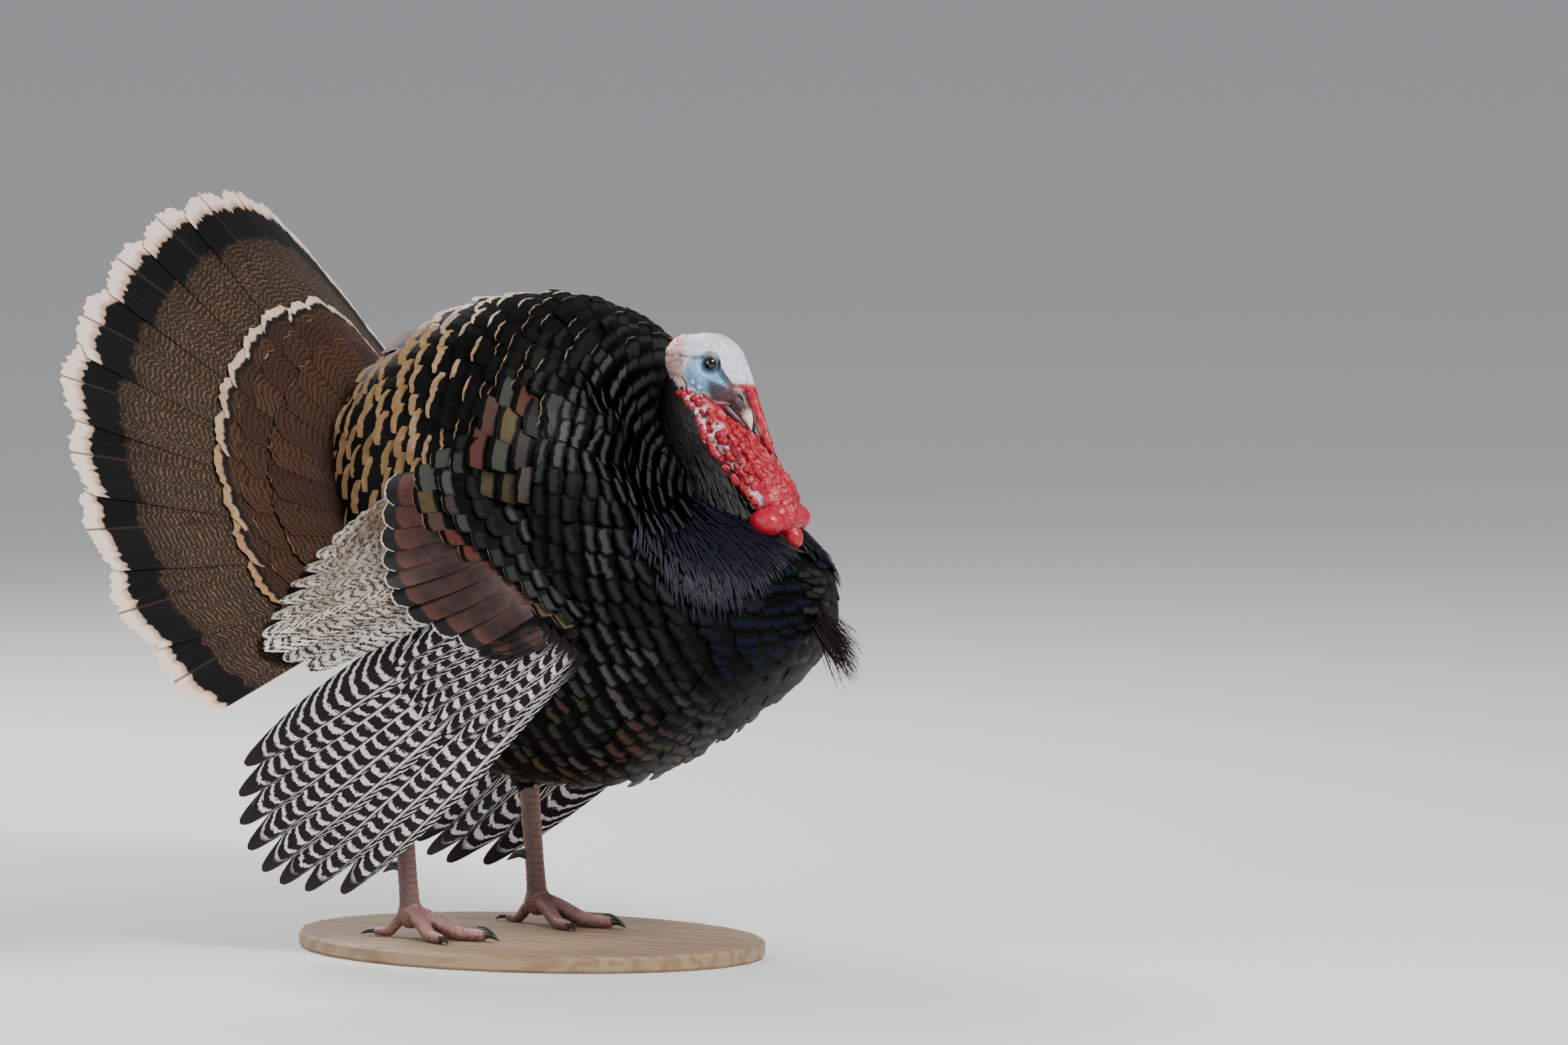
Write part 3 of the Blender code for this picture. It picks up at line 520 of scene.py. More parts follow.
# ---------------------------------------------------------------- materials
class Graph:
    """A material's nodes, put together with few words. A value is a socket, a number or a colour."""

    def __init__(self, name: str, roughness: float = 0.5, specular: float = 0.5) -> None:
        """A new material with this roughness and specular level."""
        self.material = bpy.data.materials.new(name)
        self.material.use_nodes = True
        self.tree = self.material.node_tree
        self.shader = self.tree.nodes["Principled BSDF"]
        self.shader.inputs["Roughness"].default_value = roughness
        self.shader.inputs["Specular IOR Level"].default_value = specular

    def plug(self, socket: Socket, value: Value) -> None:
        """Links a socket to the input, or sets it to the number or colour."""
        if isinstance(value, Socket):
            self.tree.links.new(value, socket)
        elif isinstance(value, tuple) and len(value) == 3 and socket.type == "RGBA":
            socket.default_value = (*value, 1.0)
        else:
            socket.default_value = value

    def node(self, kind: str, *values: Value | None, **settings: object) -> bpy.types.Node:
        """A node of this kind, its settings made and its first inputs plugged."""
        node = self.tree.nodes.new(kind)
        for key, value in settings.items():
            setattr(node, key, value)
        for socket, value in zip(node.inputs, values):
            if value is not None:
                self.plug(socket, value)
        return node

    def math(self, operation: str, *values: Value) -> Socket:
        """The result of one sum on values."""
        return self.node("ShaderNodeMath", *values, operation=operation).outputs[0]

    def add(self, a: Value, b: Value) -> Socket:
        """a + b."""
        return self.math("ADD", a, b)

    def sub(self, a: Value, b: Value) -> Socket:
        """a - b."""
        return self.math("SUBTRACT", a, b)

    def mul(self, a: Value, b: Value) -> Socket:
        """a * b."""
        return self.math("MULTIPLY", a, b)

    def size(self, x: Value) -> Socket:
        """x without its sign."""
        return self.math("ABSOLUTE", x)

    def power(self, x: Value, exponent: float) -> Socket:
        """The size of x raised to this power."""
        return self.math("POWER", self.size(x), exponent)

    def wobble(self, noise: Value, amount: float) -> Socket:
        """Noise from 0 to 1 turned to one from -amount / 2 to amount / 2."""
        return self.mul(self.sub(noise, 0.5), amount)

    def reach(self, x: Value, start: float, end: float, low: float = 0.0, high: float = 1.0) -> Socket:
        """x mapped from start..end to low..high with level ends."""
        return self.node("ShaderNodeMapRange", x, start, end, low, high,
                         interpolation_type="SMOOTHSTEP").outputs[0]

    def fall(self, x: Value, start: float, end: float) -> Socket:
        """1 up to start, 0 from end on."""
        return self.reach(x, start, end, 1.0, 0.0)

    def step(self, x: Value, width: float) -> Socket:
        """0 where x is below 0 and 1 above it, over this width."""
        return self.reach(self.math("DIVIDE", x, width), -0.5, 0.5)

    def within(self, x: Value, start: float, end: float, soft: float) -> Socket:
        """1 where x lies between start and end, with soft edges."""
        return self.mul(self.reach(x, start - soft, start + soft), self.fall(x, end - soft, end + soft))

    def mix(self, share: Value, a: Value, b: Value) -> Socket:
        """Colour a turned to b by the share."""
        node = self.tree.nodes.new("ShaderNodeMix")
        node.data_type = "RGBA"
        self.plug(node.inputs[0], share)
        self.plug(node.inputs[6], a)
        self.plug(node.inputs[7], b)
        return node.outputs[2]

    def parts(self, name: str) -> Sequence[Socket]:
        """The three numbers of a point attribute."""
        attribute = self.node("ShaderNodeAttribute", attribute_name=name, attribute_type="GEOMETRY")
        return self.node("ShaderNodeSeparateXYZ", attribute.outputs["Vector"]).outputs[:3]

    def place(self) -> Socket:
        """Object coordinates."""
        return self.node("ShaderNodeTexCoord").outputs["Object"]

    def along(self) -> Sequence[Socket]:
        """The three numbers of the object coordinates."""
        return self.node("ShaderNodeSeparateXYZ", self.place()).outputs[:3]

    def vector(self, x: Value, y: Value, z: Value) -> Socket:
        """Three numbers as a vector."""
        return self.node("ShaderNodeCombineXYZ", x, y, z).outputs[0]

    def noise(self, vector: Value, scale: float, detail: float = 2.0, roughness: float = 0.5) -> Socket:
        """Noise from 0 to 1 at this scale."""
        node = self.node("ShaderNodeTexNoise")
        self.plug(node.inputs["Vector"], vector)
        node.inputs["Scale"].default_value = scale
        node.inputs["Detail"].default_value = detail
        node.inputs["Roughness"].default_value = roughness
        return node.outputs["Fac"]

    def cells(self, vector: Value, scale: float) -> Socket:
        """Distance to the nearest of scattered points."""
        node = self.node("ShaderNodeTexVoronoi")
        self.plug(node.inputs["Vector"], vector)
        node.inputs["Scale"].default_value = scale
        return node.outputs["Distance"]

    def bars(self, x: Value, period: float) -> Socket:
        """A wave from 0 to 1 with this period."""
        return self.reach(self.math("SINE", self.mul(x, 2 * pi / period)), -1.0, 1.0)

    def colour(self, value: Value) -> None:
        """Sets the base colour."""
        self.plug(self.shader.inputs["Base Color"], value)

    def roughness(self, value: Value) -> None:
        """Sets the roughness."""
        self.plug(self.shader.inputs["Roughness"], value)

    def bump(self, height: Value, strength: float, distance: float) -> None:
        """Small relief from a height."""
        node = self.tree.nodes.new("ShaderNodeBump")
        node.inputs["Strength"].default_value = strength
        node.inputs["Distance"].default_value = distance
        self.plug(node.inputs["Height"], height)
        self.plug(self.shader.inputs["Normal"], node.outputs[0])


def barb_lines(g: Graph, side: Value, from_tip: Value, spread: float) -> Socket:
    """Fine slanting lines like barbs: a wave over metres from the tip plus the distance from the shaft."""
    slant = g.mul(g.size(side), spread)
    return g.bars(g.sub(from_tip, slant), 0.0016)


def contour_finish() -> bpy.types.Material:
    """Body feathers: black, with a coppery or grey-green band near a black, white or tan tip; the band is
    partly the feathers' own bronze and partly painted sheen, and it stops short of each feather's sides to
    paint shade between neighbours.
    """
    g = Graph("contour_plumage", roughness=0.48, specular=0.05)
    side, from_tip, _ = g.parts("vane")
    random, tip, warmth = g.parts("trait")
    bronze, blue, gloss = g.parts("hue")
    place = g.place()
    patchy = g.noise(place, 130.0, 3.0)
    fine = g.noise(place, 800.0, 3.0, 0.65)
    d = g.add(from_tip, g.add(g.wobble(patchy, 0.002), g.wobble(fine, 0.0014)))
    rounded = g.add(d, g.mul(g.power(side, 3.0), 0.0016))
    black = g.mix(random, (0.0012, 0.001, 0.001), (0.003, 0.0026, 0.0025))
    tone = g.add(random, g.wobble(patchy, 0.5))
    # Bronze band: copper and red-brown are the feathers' own iridescence; the olive and grey-olive patches
    # are painted sheen.
    bronze_and_sheen = g.mix(g.reach(tone, 0.12, 0.28), (0.082, 0.024, 0.017), (0.062, 0.033, 0.03))
    bronze_and_sheen = g.mix(g.reach(tone, 0.4, 0.56), bronze_and_sheen, (0.076, 0.056, 0.026))
    bronze_and_sheen = g.mix(g.reach(tone, 0.66, 0.82), bronze_and_sheen, (0.052, 0.058, 0.048))
    bronze_and_sheen = g.mix(g.mul(g.reach(fine, 0.45, 0.75), 0.35), bronze_and_sheen, (0.028, 0.024, 0.022))
    # The grey-green band is partly the feathers' own green-grey bars and partly painted sheen; on the breast
    # it turns navy.
    sheen_band = g.mix(gloss, (0.003, 0.0027, 0.0026), (0.06, 0.069, 0.063))
    sheen_band = g.mix(g.mul(g.reach(random, 0.15, 0.75), 0.85), sheen_band, (0.004, 0.004, 0.0038))
    sheen_band = g.mix(blue, sheen_band, (0.0036, 0.0058, 0.014))
    sheen = g.mix(bronze, sheen_band, bronze_and_sheen)
    start = g.add(0.0024, g.mul(warmth, 0.004))
    deep = g.add(0.0074, g.mul(warmth, 0.015))
    band = g.mul(g.step(g.sub(rounded, start), 0.0012),
                 g.step(g.sub(deep, rounded), 0.004))
    # Painted shade: the band stops short of each feather's sides, leaving dark gaps between neighbours in a
    # ring.
    gap_shade = g.mul(g.reach(g.size(side), 0.7, 0.92), g.reach(warmth, 0.3, 0.6, 1.0, 0.15))
    band = g.mul(band, g.sub(1.0, gap_shade))
    shone = g.mix(band, black, sheen)
    pale = g.mix(g.add(warmth, g.wobble(patchy, 0.5)), (0.66, 0.56, 0.45),
                 (0.22, 0.128, 0.056))
    rays = g.bars(g.add(side, g.wobble(fine, 0.12)), 0.11)
    pale = g.mix(g.mul(g.mul(rays, g.reach(patchy, 0.35, 0.65)), 0.55), pale, (0.11, 0.072, 0.042))
    in_tip = g.mul(g.step(g.sub(tip, rounded), 0.0012), g.reach(tip, 0.0, 0.0006))
    g.colour(g.mix(in_tip, shone, pale))
    g.plug(g.shader.inputs["Metallic"], g.mul(g.mul(band, bronze), 0.3))
    g.roughness(g.reach(in_tip, 0.0, 1.0, 0.44, 0.65))
    shaft = g.fall(g.size(side), 0.0, 0.05)
    g.bump(g.add(g.mul(barb_lines(g, side, from_tip, 0.02), 0.6), shaft), 0.25, 0.0004)
    return g.material


def rectrix_finish() -> bpy.types.Material:
    """Tail feathers: fine broken tan bars on brown, a black band and a pale pinkish tip."""
    g = Graph("tail_plumage_barred", roughness=0.6, specular=0.12)
    side, from_tip, share = g.parts("vane")
    random, _, _ = g.parts("trait")
    place = g.place()
    rough = g.noise(place, 60.0, 4.0, 0.6)
    fine = g.noise(place, 420.0, 3.0, 0.7)
    d = g.add(from_tip, g.add(g.wobble(rough, 0.006), g.wobble(fine, 0.004)))
    edge = g.power(side, 2.0)
    bowed = g.add(d, g.mul(edge, 0.006))
    wave = g.add(g.add(from_tip, g.mul(g.size(side), 0.0045)),
                 g.wobble(g.noise(place, 130.0, 2.0), 0.006))
    bars = g.reach(g.bars(g.add(wave, g.mul(random, 0.004)), 0.0056), 0.5, 0.95)
    broken = g.reach(g.noise(place, 330.0, 3.0, 0.6), 0.36, 0.6)
    strength = g.mul(g.mul(bars, broken), g.reach(share, 0.05, 0.55, 0.45, 1.0))
    brown = g.mix(rough, (0.013, 0.0085, 0.0065), (0.038, 0.023, 0.015))
    barred = g.mix(strength, brown, (0.125, 0.076, 0.043))
    barred = g.mix(g.mul(g.fall(bowed, 0.06, 0.1), 0.35), barred, (0.012, 0.008, 0.006))
    black = g.mix(g.fall(bowed, 0.056, 0.064), barred, (0.003, 0.0026, 0.0028))
    pale = g.mix(g.reach(bowed, 0.012, 0.021), (0.82, 0.65, 0.55), (0.46, 0.3, 0.2))
    pale = g.mix(g.mul(g.reach(fine, 0.62, 0.8), 0.45), pale, (0.44, 0.33, 0.26))
    tipped = g.mix(g.fall(bowed, 0.0205, 0.0235), black, pale)
    shaft = g.fall(g.size(side), 0.01, 0.04)
    g.colour(g.mix(g.mul(shaft, 0.8), tipped, (0.035, 0.02, 0.013)))
    g.bump(g.add(barb_lines(g, side, from_tip, 0.04), g.mul(shaft, 2.0)), 0.4, 0.0005)
    return g.material


def tail_covert_finish() -> bpy.types.Material:
    """Tail coverts: chestnut with fine wavy black bars, a thin black line and a buff tip."""
    g = Graph("tail_coverts_chestnut", roughness=0.6, specular=0.12)
    side, from_tip, share = g.parts("vane")
    random, tip, warmth = g.parts("trait")
    place = g.place()
    rough = g.noise(place, 70.0, 3.0, 0.6)
    fine = g.noise(place, 420.0, 3.0, 0.7)
    d = g.add(from_tip, g.add(g.wobble(rough, 0.005), g.wobble(fine, 0.0035)))
    bowed = g.add(d, g.mul(g.power(side, 2.0), 0.005))
    wave = g.add(g.add(from_tip, g.mul(g.size(side), -0.006)),
                 g.wobble(g.noise(place, 110.0, 2.0), 0.009))
    bars = g.reach(g.bars(wave, 0.0062), 0.62, 0.98)
    chestnut = g.mix(random, (0.04, 0.0175, 0.0095), (0.066, 0.029, 0.0145))
    chestnut = g.mix(g.fall(share, 0.25, 0.85), chestnut, (0.02, 0.011, 0.0075))
    barred = g.mix(g.mul(bars, 0.8), chestnut, (0.008, 0.0055, 0.0045))
    line = g.mul(g.within(g.sub(bowed, tip), 0.0005, 0.006, 0.0015), g.reach(tip, 0.001, 0.004))
    lined = g.mix(line, barred, (0.009, 0.0065, 0.0055))
    pale = g.mix(g.add(warmth, g.wobble(rough, 0.9)), (0.76, 0.63, 0.52), (0.3, 0.165, 0.08))
    in_tip = g.step(g.sub(tip, bowed), 0.003)
    g.colour(g.mix(in_tip, lined, pale))
    shaft = g.fall(g.size(side), 0.0, 0.06)
    g.bump(g.add(barb_lines(g, side, from_tip, 0.025), shaft), 0.4, 0.0005)
    return g.material


def primary_finish() -> bpy.types.Material:
    """Flight feathers: black with jagged white bars, a spotted leading edge and an ivory shaft."""
    g = Graph("wing_plumage_barred", roughness=0.52, specular=0.18)
    side, from_tip, share = g.parts("vane")
    random, tip, warmth = g.parts("trait")
    _, shaft_at, _ = g.parts("hue")
    place = g.place()
    rough = g.noise(place, 150.0, 3.0, 0.65)
    fine = g.noise(place, 700.0, 2.0, 0.6)
    off = g.sub(shaft_at, side)
    inner = g.reach(off, -0.02, 0.02)
    slanted = g.sub(from_tip, g.mul(g.power(off, 0.7), 0.0075))
    jagged = g.add(slanted, g.add(g.wobble(rough, 0.012), g.wobble(fine, 0.007)))
    wave = g.bars(g.add(jagged, g.add(g.mul(random, 0.018), g.mul(inner, 0.006))), 0.017)
    white = g.mul(g.reach(wave, 0.8, 0.91), inner)
    rooted = g.reach(share, 0.03, 0.2)
    feathery = g.reach(g.add(from_tip, g.mul(g.sub(1.0, tip), 0.03)), 0.016, 0.03)
    white = g.mul(white, g.mul(feathery, rooted))
    breadth = g.add(0.02, g.mul(from_tip, 0.22))
    gap = g.reach(g.sub(g.size(off), breadth), 0.02, 0.12)
    white = g.mul(white, gap)
    spots = g.mul(g.fall(off, -0.16, -0.06), g.reach(g.bars(jagged, 0.0135), 0.66, 0.8))
    spots = g.mul(spots, rooted)
    black = g.mix(g.mul(tip, g.fall(from_tip, 0.0, 0.03)), (0.005, 0.004, 0.0036),
                  (0.016, 0.0115, 0.0095))
    body = g.mix(g.math("MAXIMUM", white, spots), black, (0.74, 0.72, 0.7))
    body = g.mix(g.mul(warmth, 0.75), body, g.mix(white, (0.03, 0.021, 0.016), (0.36, 0.3, 0.24)))
    shaft = g.mul(g.fall(g.sub(g.size(off), breadth), -0.015, 0.015), rooted)
    pale = g.mix(g.reach(from_tip, 0.01, 0.1), (0.24, 0.19, 0.14), (0.7, 0.65, 0.56))
    g.colour(g.mix(shaft, body, pale))
    g.bump(g.add(barb_lines(g, off, from_tip, 0.02), g.mul(shaft, 2.5)), 0.45, 0.0005)
    return g.material


def secondary_finish() -> bpy.types.Material:
    """Secondaries and their under rows: white and buff, closely broken with brown and black."""
    g = Graph("wing_plumage_speckled", roughness=0.58, specular=0.15)
    side, from_tip, _ = g.parts("vane")
    random, _, warmth = g.parts("trait")
    place = g.place()
    rough = g.noise(place, 120.0, 3.0, 0.6)
    fine = g.noise(place, 520.0, 3.0, 0.7)
    jagged = g.add(g.add(from_tip, g.mul(side, 0.004)),
                   g.add(g.wobble(rough, 0.014), g.wobble(fine, 0.01)))
    wave = g.bars(g.add(jagged, g.mul(random, 0.012)), 0.0105)
    dark = g.reach(wave, 0.46, 0.68)
    broken = g.mul(g.reach(fine, 0.3, 0.48), g.reach(g.noise(place, 260.0, 2.0), 0.36, 0.5))
    dark = g.mul(dark, broken)
    brown = g.mix(warmth, (0.008, 0.006, 0.005), (0.06, 0.034, 0.021))
    cream = g.mix(g.add(g.mul(warmth, 0.95), g.wobble(rough, 0.6)), (0.72, 0.67, 0.6),
                  (0.17, 0.115, 0.075))
    rust = g.mul(g.within(wave, 0.3, 0.5, 0.1), g.reach(rough, 0.45, 0.65))
    cream = g.mix(g.mul(rust, 0.75), cream, (0.19, 0.095, 0.038))
    speckled = g.mix(dark, cream, brown)
    shaft = g.fall(g.size(g.add(side, 0.3)), 0.02, 0.06)
    g.colour(g.mix(g.mul(shaft, 0.6), speckled, (0.15, 0.1, 0.07)))
    g.bump(g.add(barb_lines(g, side, from_tip, 0.02), shaft), 0.4, 0.0005)
    return g.material


def plate_finish() -> bpy.types.Material:
    """Great coverts: plain purple-bronze with a dull shine, dark edges, a black tip and a thin pale rim."""
    g = Graph("wing_plumage_bronze", roughness=0.4, specular=0.25)
    side, from_tip, _ = g.parts("vane")
    _, _, warmth = g.parts("trait")
    bronze, blue, edge = g.parts("hue")
    place = g.place()
    rough = g.noise(place, 45.0, 3.0, 0.6)
    fine = g.noise(place, 500.0, 2.0, 0.6)
    d = g.add(from_tip, g.wobble(fine, 0.003))
    bowed = g.add(d, g.mul(g.power(side, 2.0), 0.004))
    base = g.mix(g.reach(rough, 0.35, 0.65), (0.024, 0.0135, 0.013), (0.048, 0.0245, 0.0205))
    copper = g.mix(g.mul(bronze, g.reach(rough, 0.4, 0.6)), base, (0.08, 0.027, 0.017))
    copper = g.mix(g.mul(g.fall(bowed, 0.016, 0.034), 0.6), copper, (0.105, 0.038, 0.026))
    green = g.mix(g.mul(blue, g.reach(fine, 0.35, 0.6)), copper, (0.07, 0.076, 0.044))
    dusky = g.mul(g.reach(warmth, 0.0, 0.4, 0.92, 0.0), g.reach(rough, 0.62, 0.5))
    shaded = g.mix(dusky, green, (0.0085, 0.0066, 0.006))
    lower = g.mix(g.fall(side, -1.0, -0.8), shaded, (0.005, 0.0036, 0.0034))
    black = g.mix(g.within(bowed, -0.01, 0.016, 0.002), lower, (0.003, 0.0024, 0.0022))
    rim = g.mul(g.within(g.add(d, g.wobble(fine, 0.002)), -0.01, 0.0016, 0.0006), edge)
    g.colour(g.mix(rim, black, (0.62, 0.56, 0.49)))
    g.plug(g.shader.inputs["Metallic"], g.mul(g.reach(bowed, 0.015, 0.02), 0.3))
    g.bump(barb_lines(g, side, from_tip, 0.02), 0.35, 0.0004)
    return g.material


def hair_finish(name: str, dark: Colour, light: Colour) -> bpy.types.Material:
    """Hairlike feathers and bristles."""
    g = Graph(name, roughness=0.42, specular=0.22)
    random, _, _ = g.parts("trait")
    side, _, share = g.parts("vane")
    _, blue, edge = g.parts("hue")
    hair = g.mix(g.add(g.mul(random, 0.7), g.mul(share, 0.3)), dark, light)
    navy = g.mix(random, (0.0017, 0.0027, 0.0074), (0.0044, 0.007, 0.019))
    hair = g.mix(blue, hair, navy)
    brown = g.mix(random, (0.018, 0.017, 0.012), (0.052, 0.048, 0.033))
    g.colour(g.mix(g.mul(edge, 0.8), hair, brown))
    g.bump(g.bars(side, 0.5), 0.3, 0.0004)
    return g.material


# ---------------------------------------------------------------- the tail
class Fan:
    """The tail's surface: feathers swung out from the middle one about a shared root."""

    ROOT = np.array([-0.124, 0.0, 0.3955])
    MIDDLE = np.array([-0.643, 0.0, 0.766])
    SIDE = np.array([-0.345, 0.892, -0.289])
    FOLD = 0.35
    BOW = 0.009
    LENGTH_ANGLES = (0, 15, 30, 55, 62, 85, 102)
    LENGTHS = (0.398, 0.402, 0.406, 0.42, 0.41, 0.419, 0.414)

    @classmethod
    def direction(cls, angle: Array) -> Array:
        """Unit directions for angles in degrees from the middle, left positive."""
        swing = np.radians(angle)[..., None]
        back = np.sqrt(np.sin(swing) ** 2 + cls.FOLD**2) - cls.FOLD
        return unit(np.cos(swing) * cls.MIDDLE + np.sin(swing) * cls.SIDE * (0, 1, 0)
                    + back * cls.SIDE * (1, 0, 1))

    @classmethod
    def face(cls, angle: Array) -> Array:
        """Unit directions that the front of the fan looks."""
        return unit(np.cross(cls.direction(angle + 0.5) - cls.direction(angle - 0.5), cls.direction(angle)))

    @classmethod
    def at(cls, angle: Array, radius: Array, offset: Array) -> Array:
        """Points at this angle and distance from the root, `offset` in front of the fan."""
        bend = offset - cls.BOW * (radius / cls.LENGTHS[0]) ** 2
        return cls.ROOT + cls.direction(angle) * radius[..., None] + cls.face(angle) * bend[..., None]


@dataclass(frozen=True)
class FanRow:
    """One row of tail feathers.

    Attributes:
        count: Feathers in the row.
        reach: Degrees to each side.
        length: Distance of the tips from the root at the middle; None takes the fan's own lengths.
        start: Where the vanes begin.
        half_width: Half width of a feather near its tip.
        offset: How far in front of the fan they lie; behind it below 0.
        lean: How far one edge stands over the other.
        lift: How far the tips stand off.
        tip: Depth of the pale tip.
        warmth: 0 for white tips at the middle, 1 for golden ones.
        turning: How much warmer the tips are at the sides.
    """

    count: int
    reach: float
    length: float | None
    start: float
    half_width: float
    offset: float
    lean: float = 0.0008
    lift: float = 0.0
    tip: float = 0.0
    warmth: float = 0.5
    turning: float = 0.0


def atlas(count: int) -> tuple[Array, Array]:
    """Middles and size of the cells of a square baking map shared out among this many feathers."""
    across = int(np.ceil(np.sqrt(count)))
    down = int(np.ceil(count / across))
    i = np.arange(count)
    middles = np.stack([(i % across + 0.5) / across, (i // across + 0.5) / down], axis=-1)
    return middles, np.array([0.92 / across, 0.92 / down])


def fan_feathers(row: FanRow, vane: Vane, rng: np.random.Generator, front: bool = True) -> Feathers:
    """A row of tail feathers, each a slice of the fan, lapped like shingles from the middle outwards.

    Args:
        row: The row.
        vane: The kind of feather.
        rng: Random source.
        front: Whether they face the front of the fan or its back.

    Returns:
        The feathers.
    """
    angles = np.linspace(-row.reach, row.reach, row.count)
    middle = angles + rng.uniform(-0.6, 0.6, row.count)
    if row.length is None:
        lengths = np.interp(np.abs(angles), Fan.LENGTH_ANGLES, Fan.LENGTHS)
    else:
        lengths = row.length + rng.uniform(-0.004, 0.004, row.count)
    widths = np.full(row.count, row.half_width * 2)
    share, side, along, across = vane_plan(vane, lengths - row.start, widths, rng)
    radius = row.start + along
    angle = middle[:, None, None] + np.degrees(across / np.maximum(radius, 0.05))
    outward = np.sign(middle)[:, None, None] * side
    outward = np.where(np.abs(middle)[:, None, None] < 1, 1 - np.abs(side) * 2, outward)
    offset = (row.offset + (row.lean * outward + row.lift * share**2
                            - vane.camber * row.half_width * side**2) * (1 if front else -1))
    points = Fan.at(angle, radius, offset)
    bake, patch = atlas(row.count)
    warmth = np.clip(row.warmth + row.turning * np.abs(angles) / row.reach, 0, 1)
    traits = plain_traits(row.count, rng, tip=row.tip, warmth=warmth)
    made = finished(points, share, side, along, traits, bake, patch)
    return made.flipped() if front else made


def repacked(sets: Sequence[Feathers]) -> Feathers:
    """Several sets as one, each feather given its own cell of the baking map."""
    joined = Feathers.joined(sets)
    bake, patch = atlas(len(joined.points))
    side, share = joined.vane[..., 0], joined.vane[..., 2]
    joined.bake = bake[:, None, None, :] + patch * np.stack([side / 2, share - 0.5], axis=-1)
    return joined


def build_tail(rng: np.random.Generator) -> None:
    """Tail feathers, the rows of coverts in front of them and the row behind."""
    rectrix = Vane(rows=34, columns=27, base=0.3, rounding=0.04, taper=0.02, camber=0.015, ragged=0.0036)
    add_feathers("tail_feathers", fan_feathers(
        FanRow(18, 96.3, None, 0.075, 0.0445, 0.0, lean=0.0012), rectrix, rng),
        rectrix_finish(), "tail_plumage", "tail_fan")
    covert = Vane(rows=12, columns=13, base=0.45, rounding=0.06, taper=0.05, camber=0.02, ragged=0.0022)
    rows = (
        FanRow(22, 97.0, 0.262, 0.07, 0.03, 0.004, tip=0.0085, warmth=0.3, turning=0.9),
        FanRow(20, 95.0, 0.236, 0.07, 0.029, 0.0052, warmth=0.85),
        FanRow(19, 92.0, 0.206, 0.065, 0.027, 0.0066, lift=0.002, warmth=0.85),
    )
    finish = tail_covert_finish()
    add_feathers("tail_covert_rows", repacked([fan_feathers(row, covert, rng) for row in rows]),
                 finish, "covert_plumage", "tail_coverts")
    behind = (
        FanRow(15, 80.0, 0.2, 0.07, 0.03, -0.0045, tip=0.008, warmth=0.6),
        FanRow(13, 76.0, 0.165, 0.065, 0.028, -0.007, lift=0.002, tip=0.008, warmth=0.6),
    )
    add_feathers("undertail_covert_rows", repacked([fan_feathers(row, covert, rng, False) for row in behind]),
                 finish, "covert_plumage", "undertail_coverts")


# ---------------------------------------------------------------- the body's coat
def cape(p: Array) -> Array:
    """1 on the upper breast, above a line from the neck's side down to the beard, 0 below it."""
    x, z = p[:, 0], p[:, 2]
    return ease(z + x - 0.573, -0.035, 0.015) * ease(x, 0.15, 0.2)


def cape_lie(p: Array) -> Array:
    """The way the cape hangs: down, forward and away from the midline."""
    return unit(np.array([0.6, 0, -0.85]) + p * (0, 6.0, 0))


def spaced_rings(form: PolarForm, start: float, end: float, gaps: tuple) -> Array:
    """Ring angles from start to end whose mean distances follow the gaps, (angles, metres)."""
    fine = np.linspace(start, end, 240)
    turn = np.linspace(-pi, pi, 37)
    grids = np.broadcast_arrays(fine[:, None], turn[None])
    pace = np.linalg.norm(form.read(form.along, *grids), axis=-1).mean(axis=1)
    passed = np.cumsum(pace / np.interp(fine, *gaps)) * (fine[1] - fine[0])
    return np.interp(np.arange(passed[0], passed[-1]), passed, fine)


def ring_roots(form: PolarForm, rings: Array, widths: Array,
               rng: np.random.Generator) -> tuple[Array, Array, Array, Array, Array]:
    """Rows of roots, each a ring of equal angle from the pole.

    A ring holds its girth over the width that one feather shows, and is turned by half a feather from
    its neighbours.

    Args:
        form: The surface.
        rings: Each ring's angle.
        widths: Distance from feather to feather in each ring.
        rng: Source of small displacements.

    Returns:
        The roots' parameters a and b, the distance to the next row and to the next feather at each,
        and their baking places.
    """
    a_all, b_all, width_all, bake_all = [], [], [], []
    turn = np.linspace(-pi, pi, 181)
    for index, (ring, width) in enumerate(zip(rings, widths)):
        points, _ = form.at(np.full(181, ring), turn)
        girth = run_along(points)
        count = max(int(girth[-1] / width), 6)
        place = (np.arange(count) + 0.5 * (index % 2) + rng.uniform(-0.1, 0.1, count)) * girth[-1] / count
        a_all.append(np.full(count, ring))
        b_all.append(np.interp(place % girth[-1], girth, turn))
        width_all.append(np.full(count, girth[-1] / count))
        row = np.full(count, (index + 0.5) / len(rings))
        bake_all.append(np.stack([(np.arange(count) + 0.5) / count, row], axis=-1))
    a, b, width, bake = (np.concatenate(part) for part in (a_all, b_all, width_all, bake_all))
    gap = np.linalg.norm(form.read(form.along, a, b), axis=-1) * np.interp(a, rings, np.gradient(rings))
    return a, b, gap, width, bake


def under_wing(p: Array) -> Array:
    """Whether each point lies where the wing's own coverts or scapulars hide it."""
    x = p[:, 0]
    coverts = (dome_level(p, COVERTS_DOME) < -0.004) & (x < 0.092) & (x > -0.03)
    scapulars = (dome_level(p, SCAPULARS_DOME) < -0.002) & (x < 0.08) & (x > -0.004)
    return coverts | scapulars


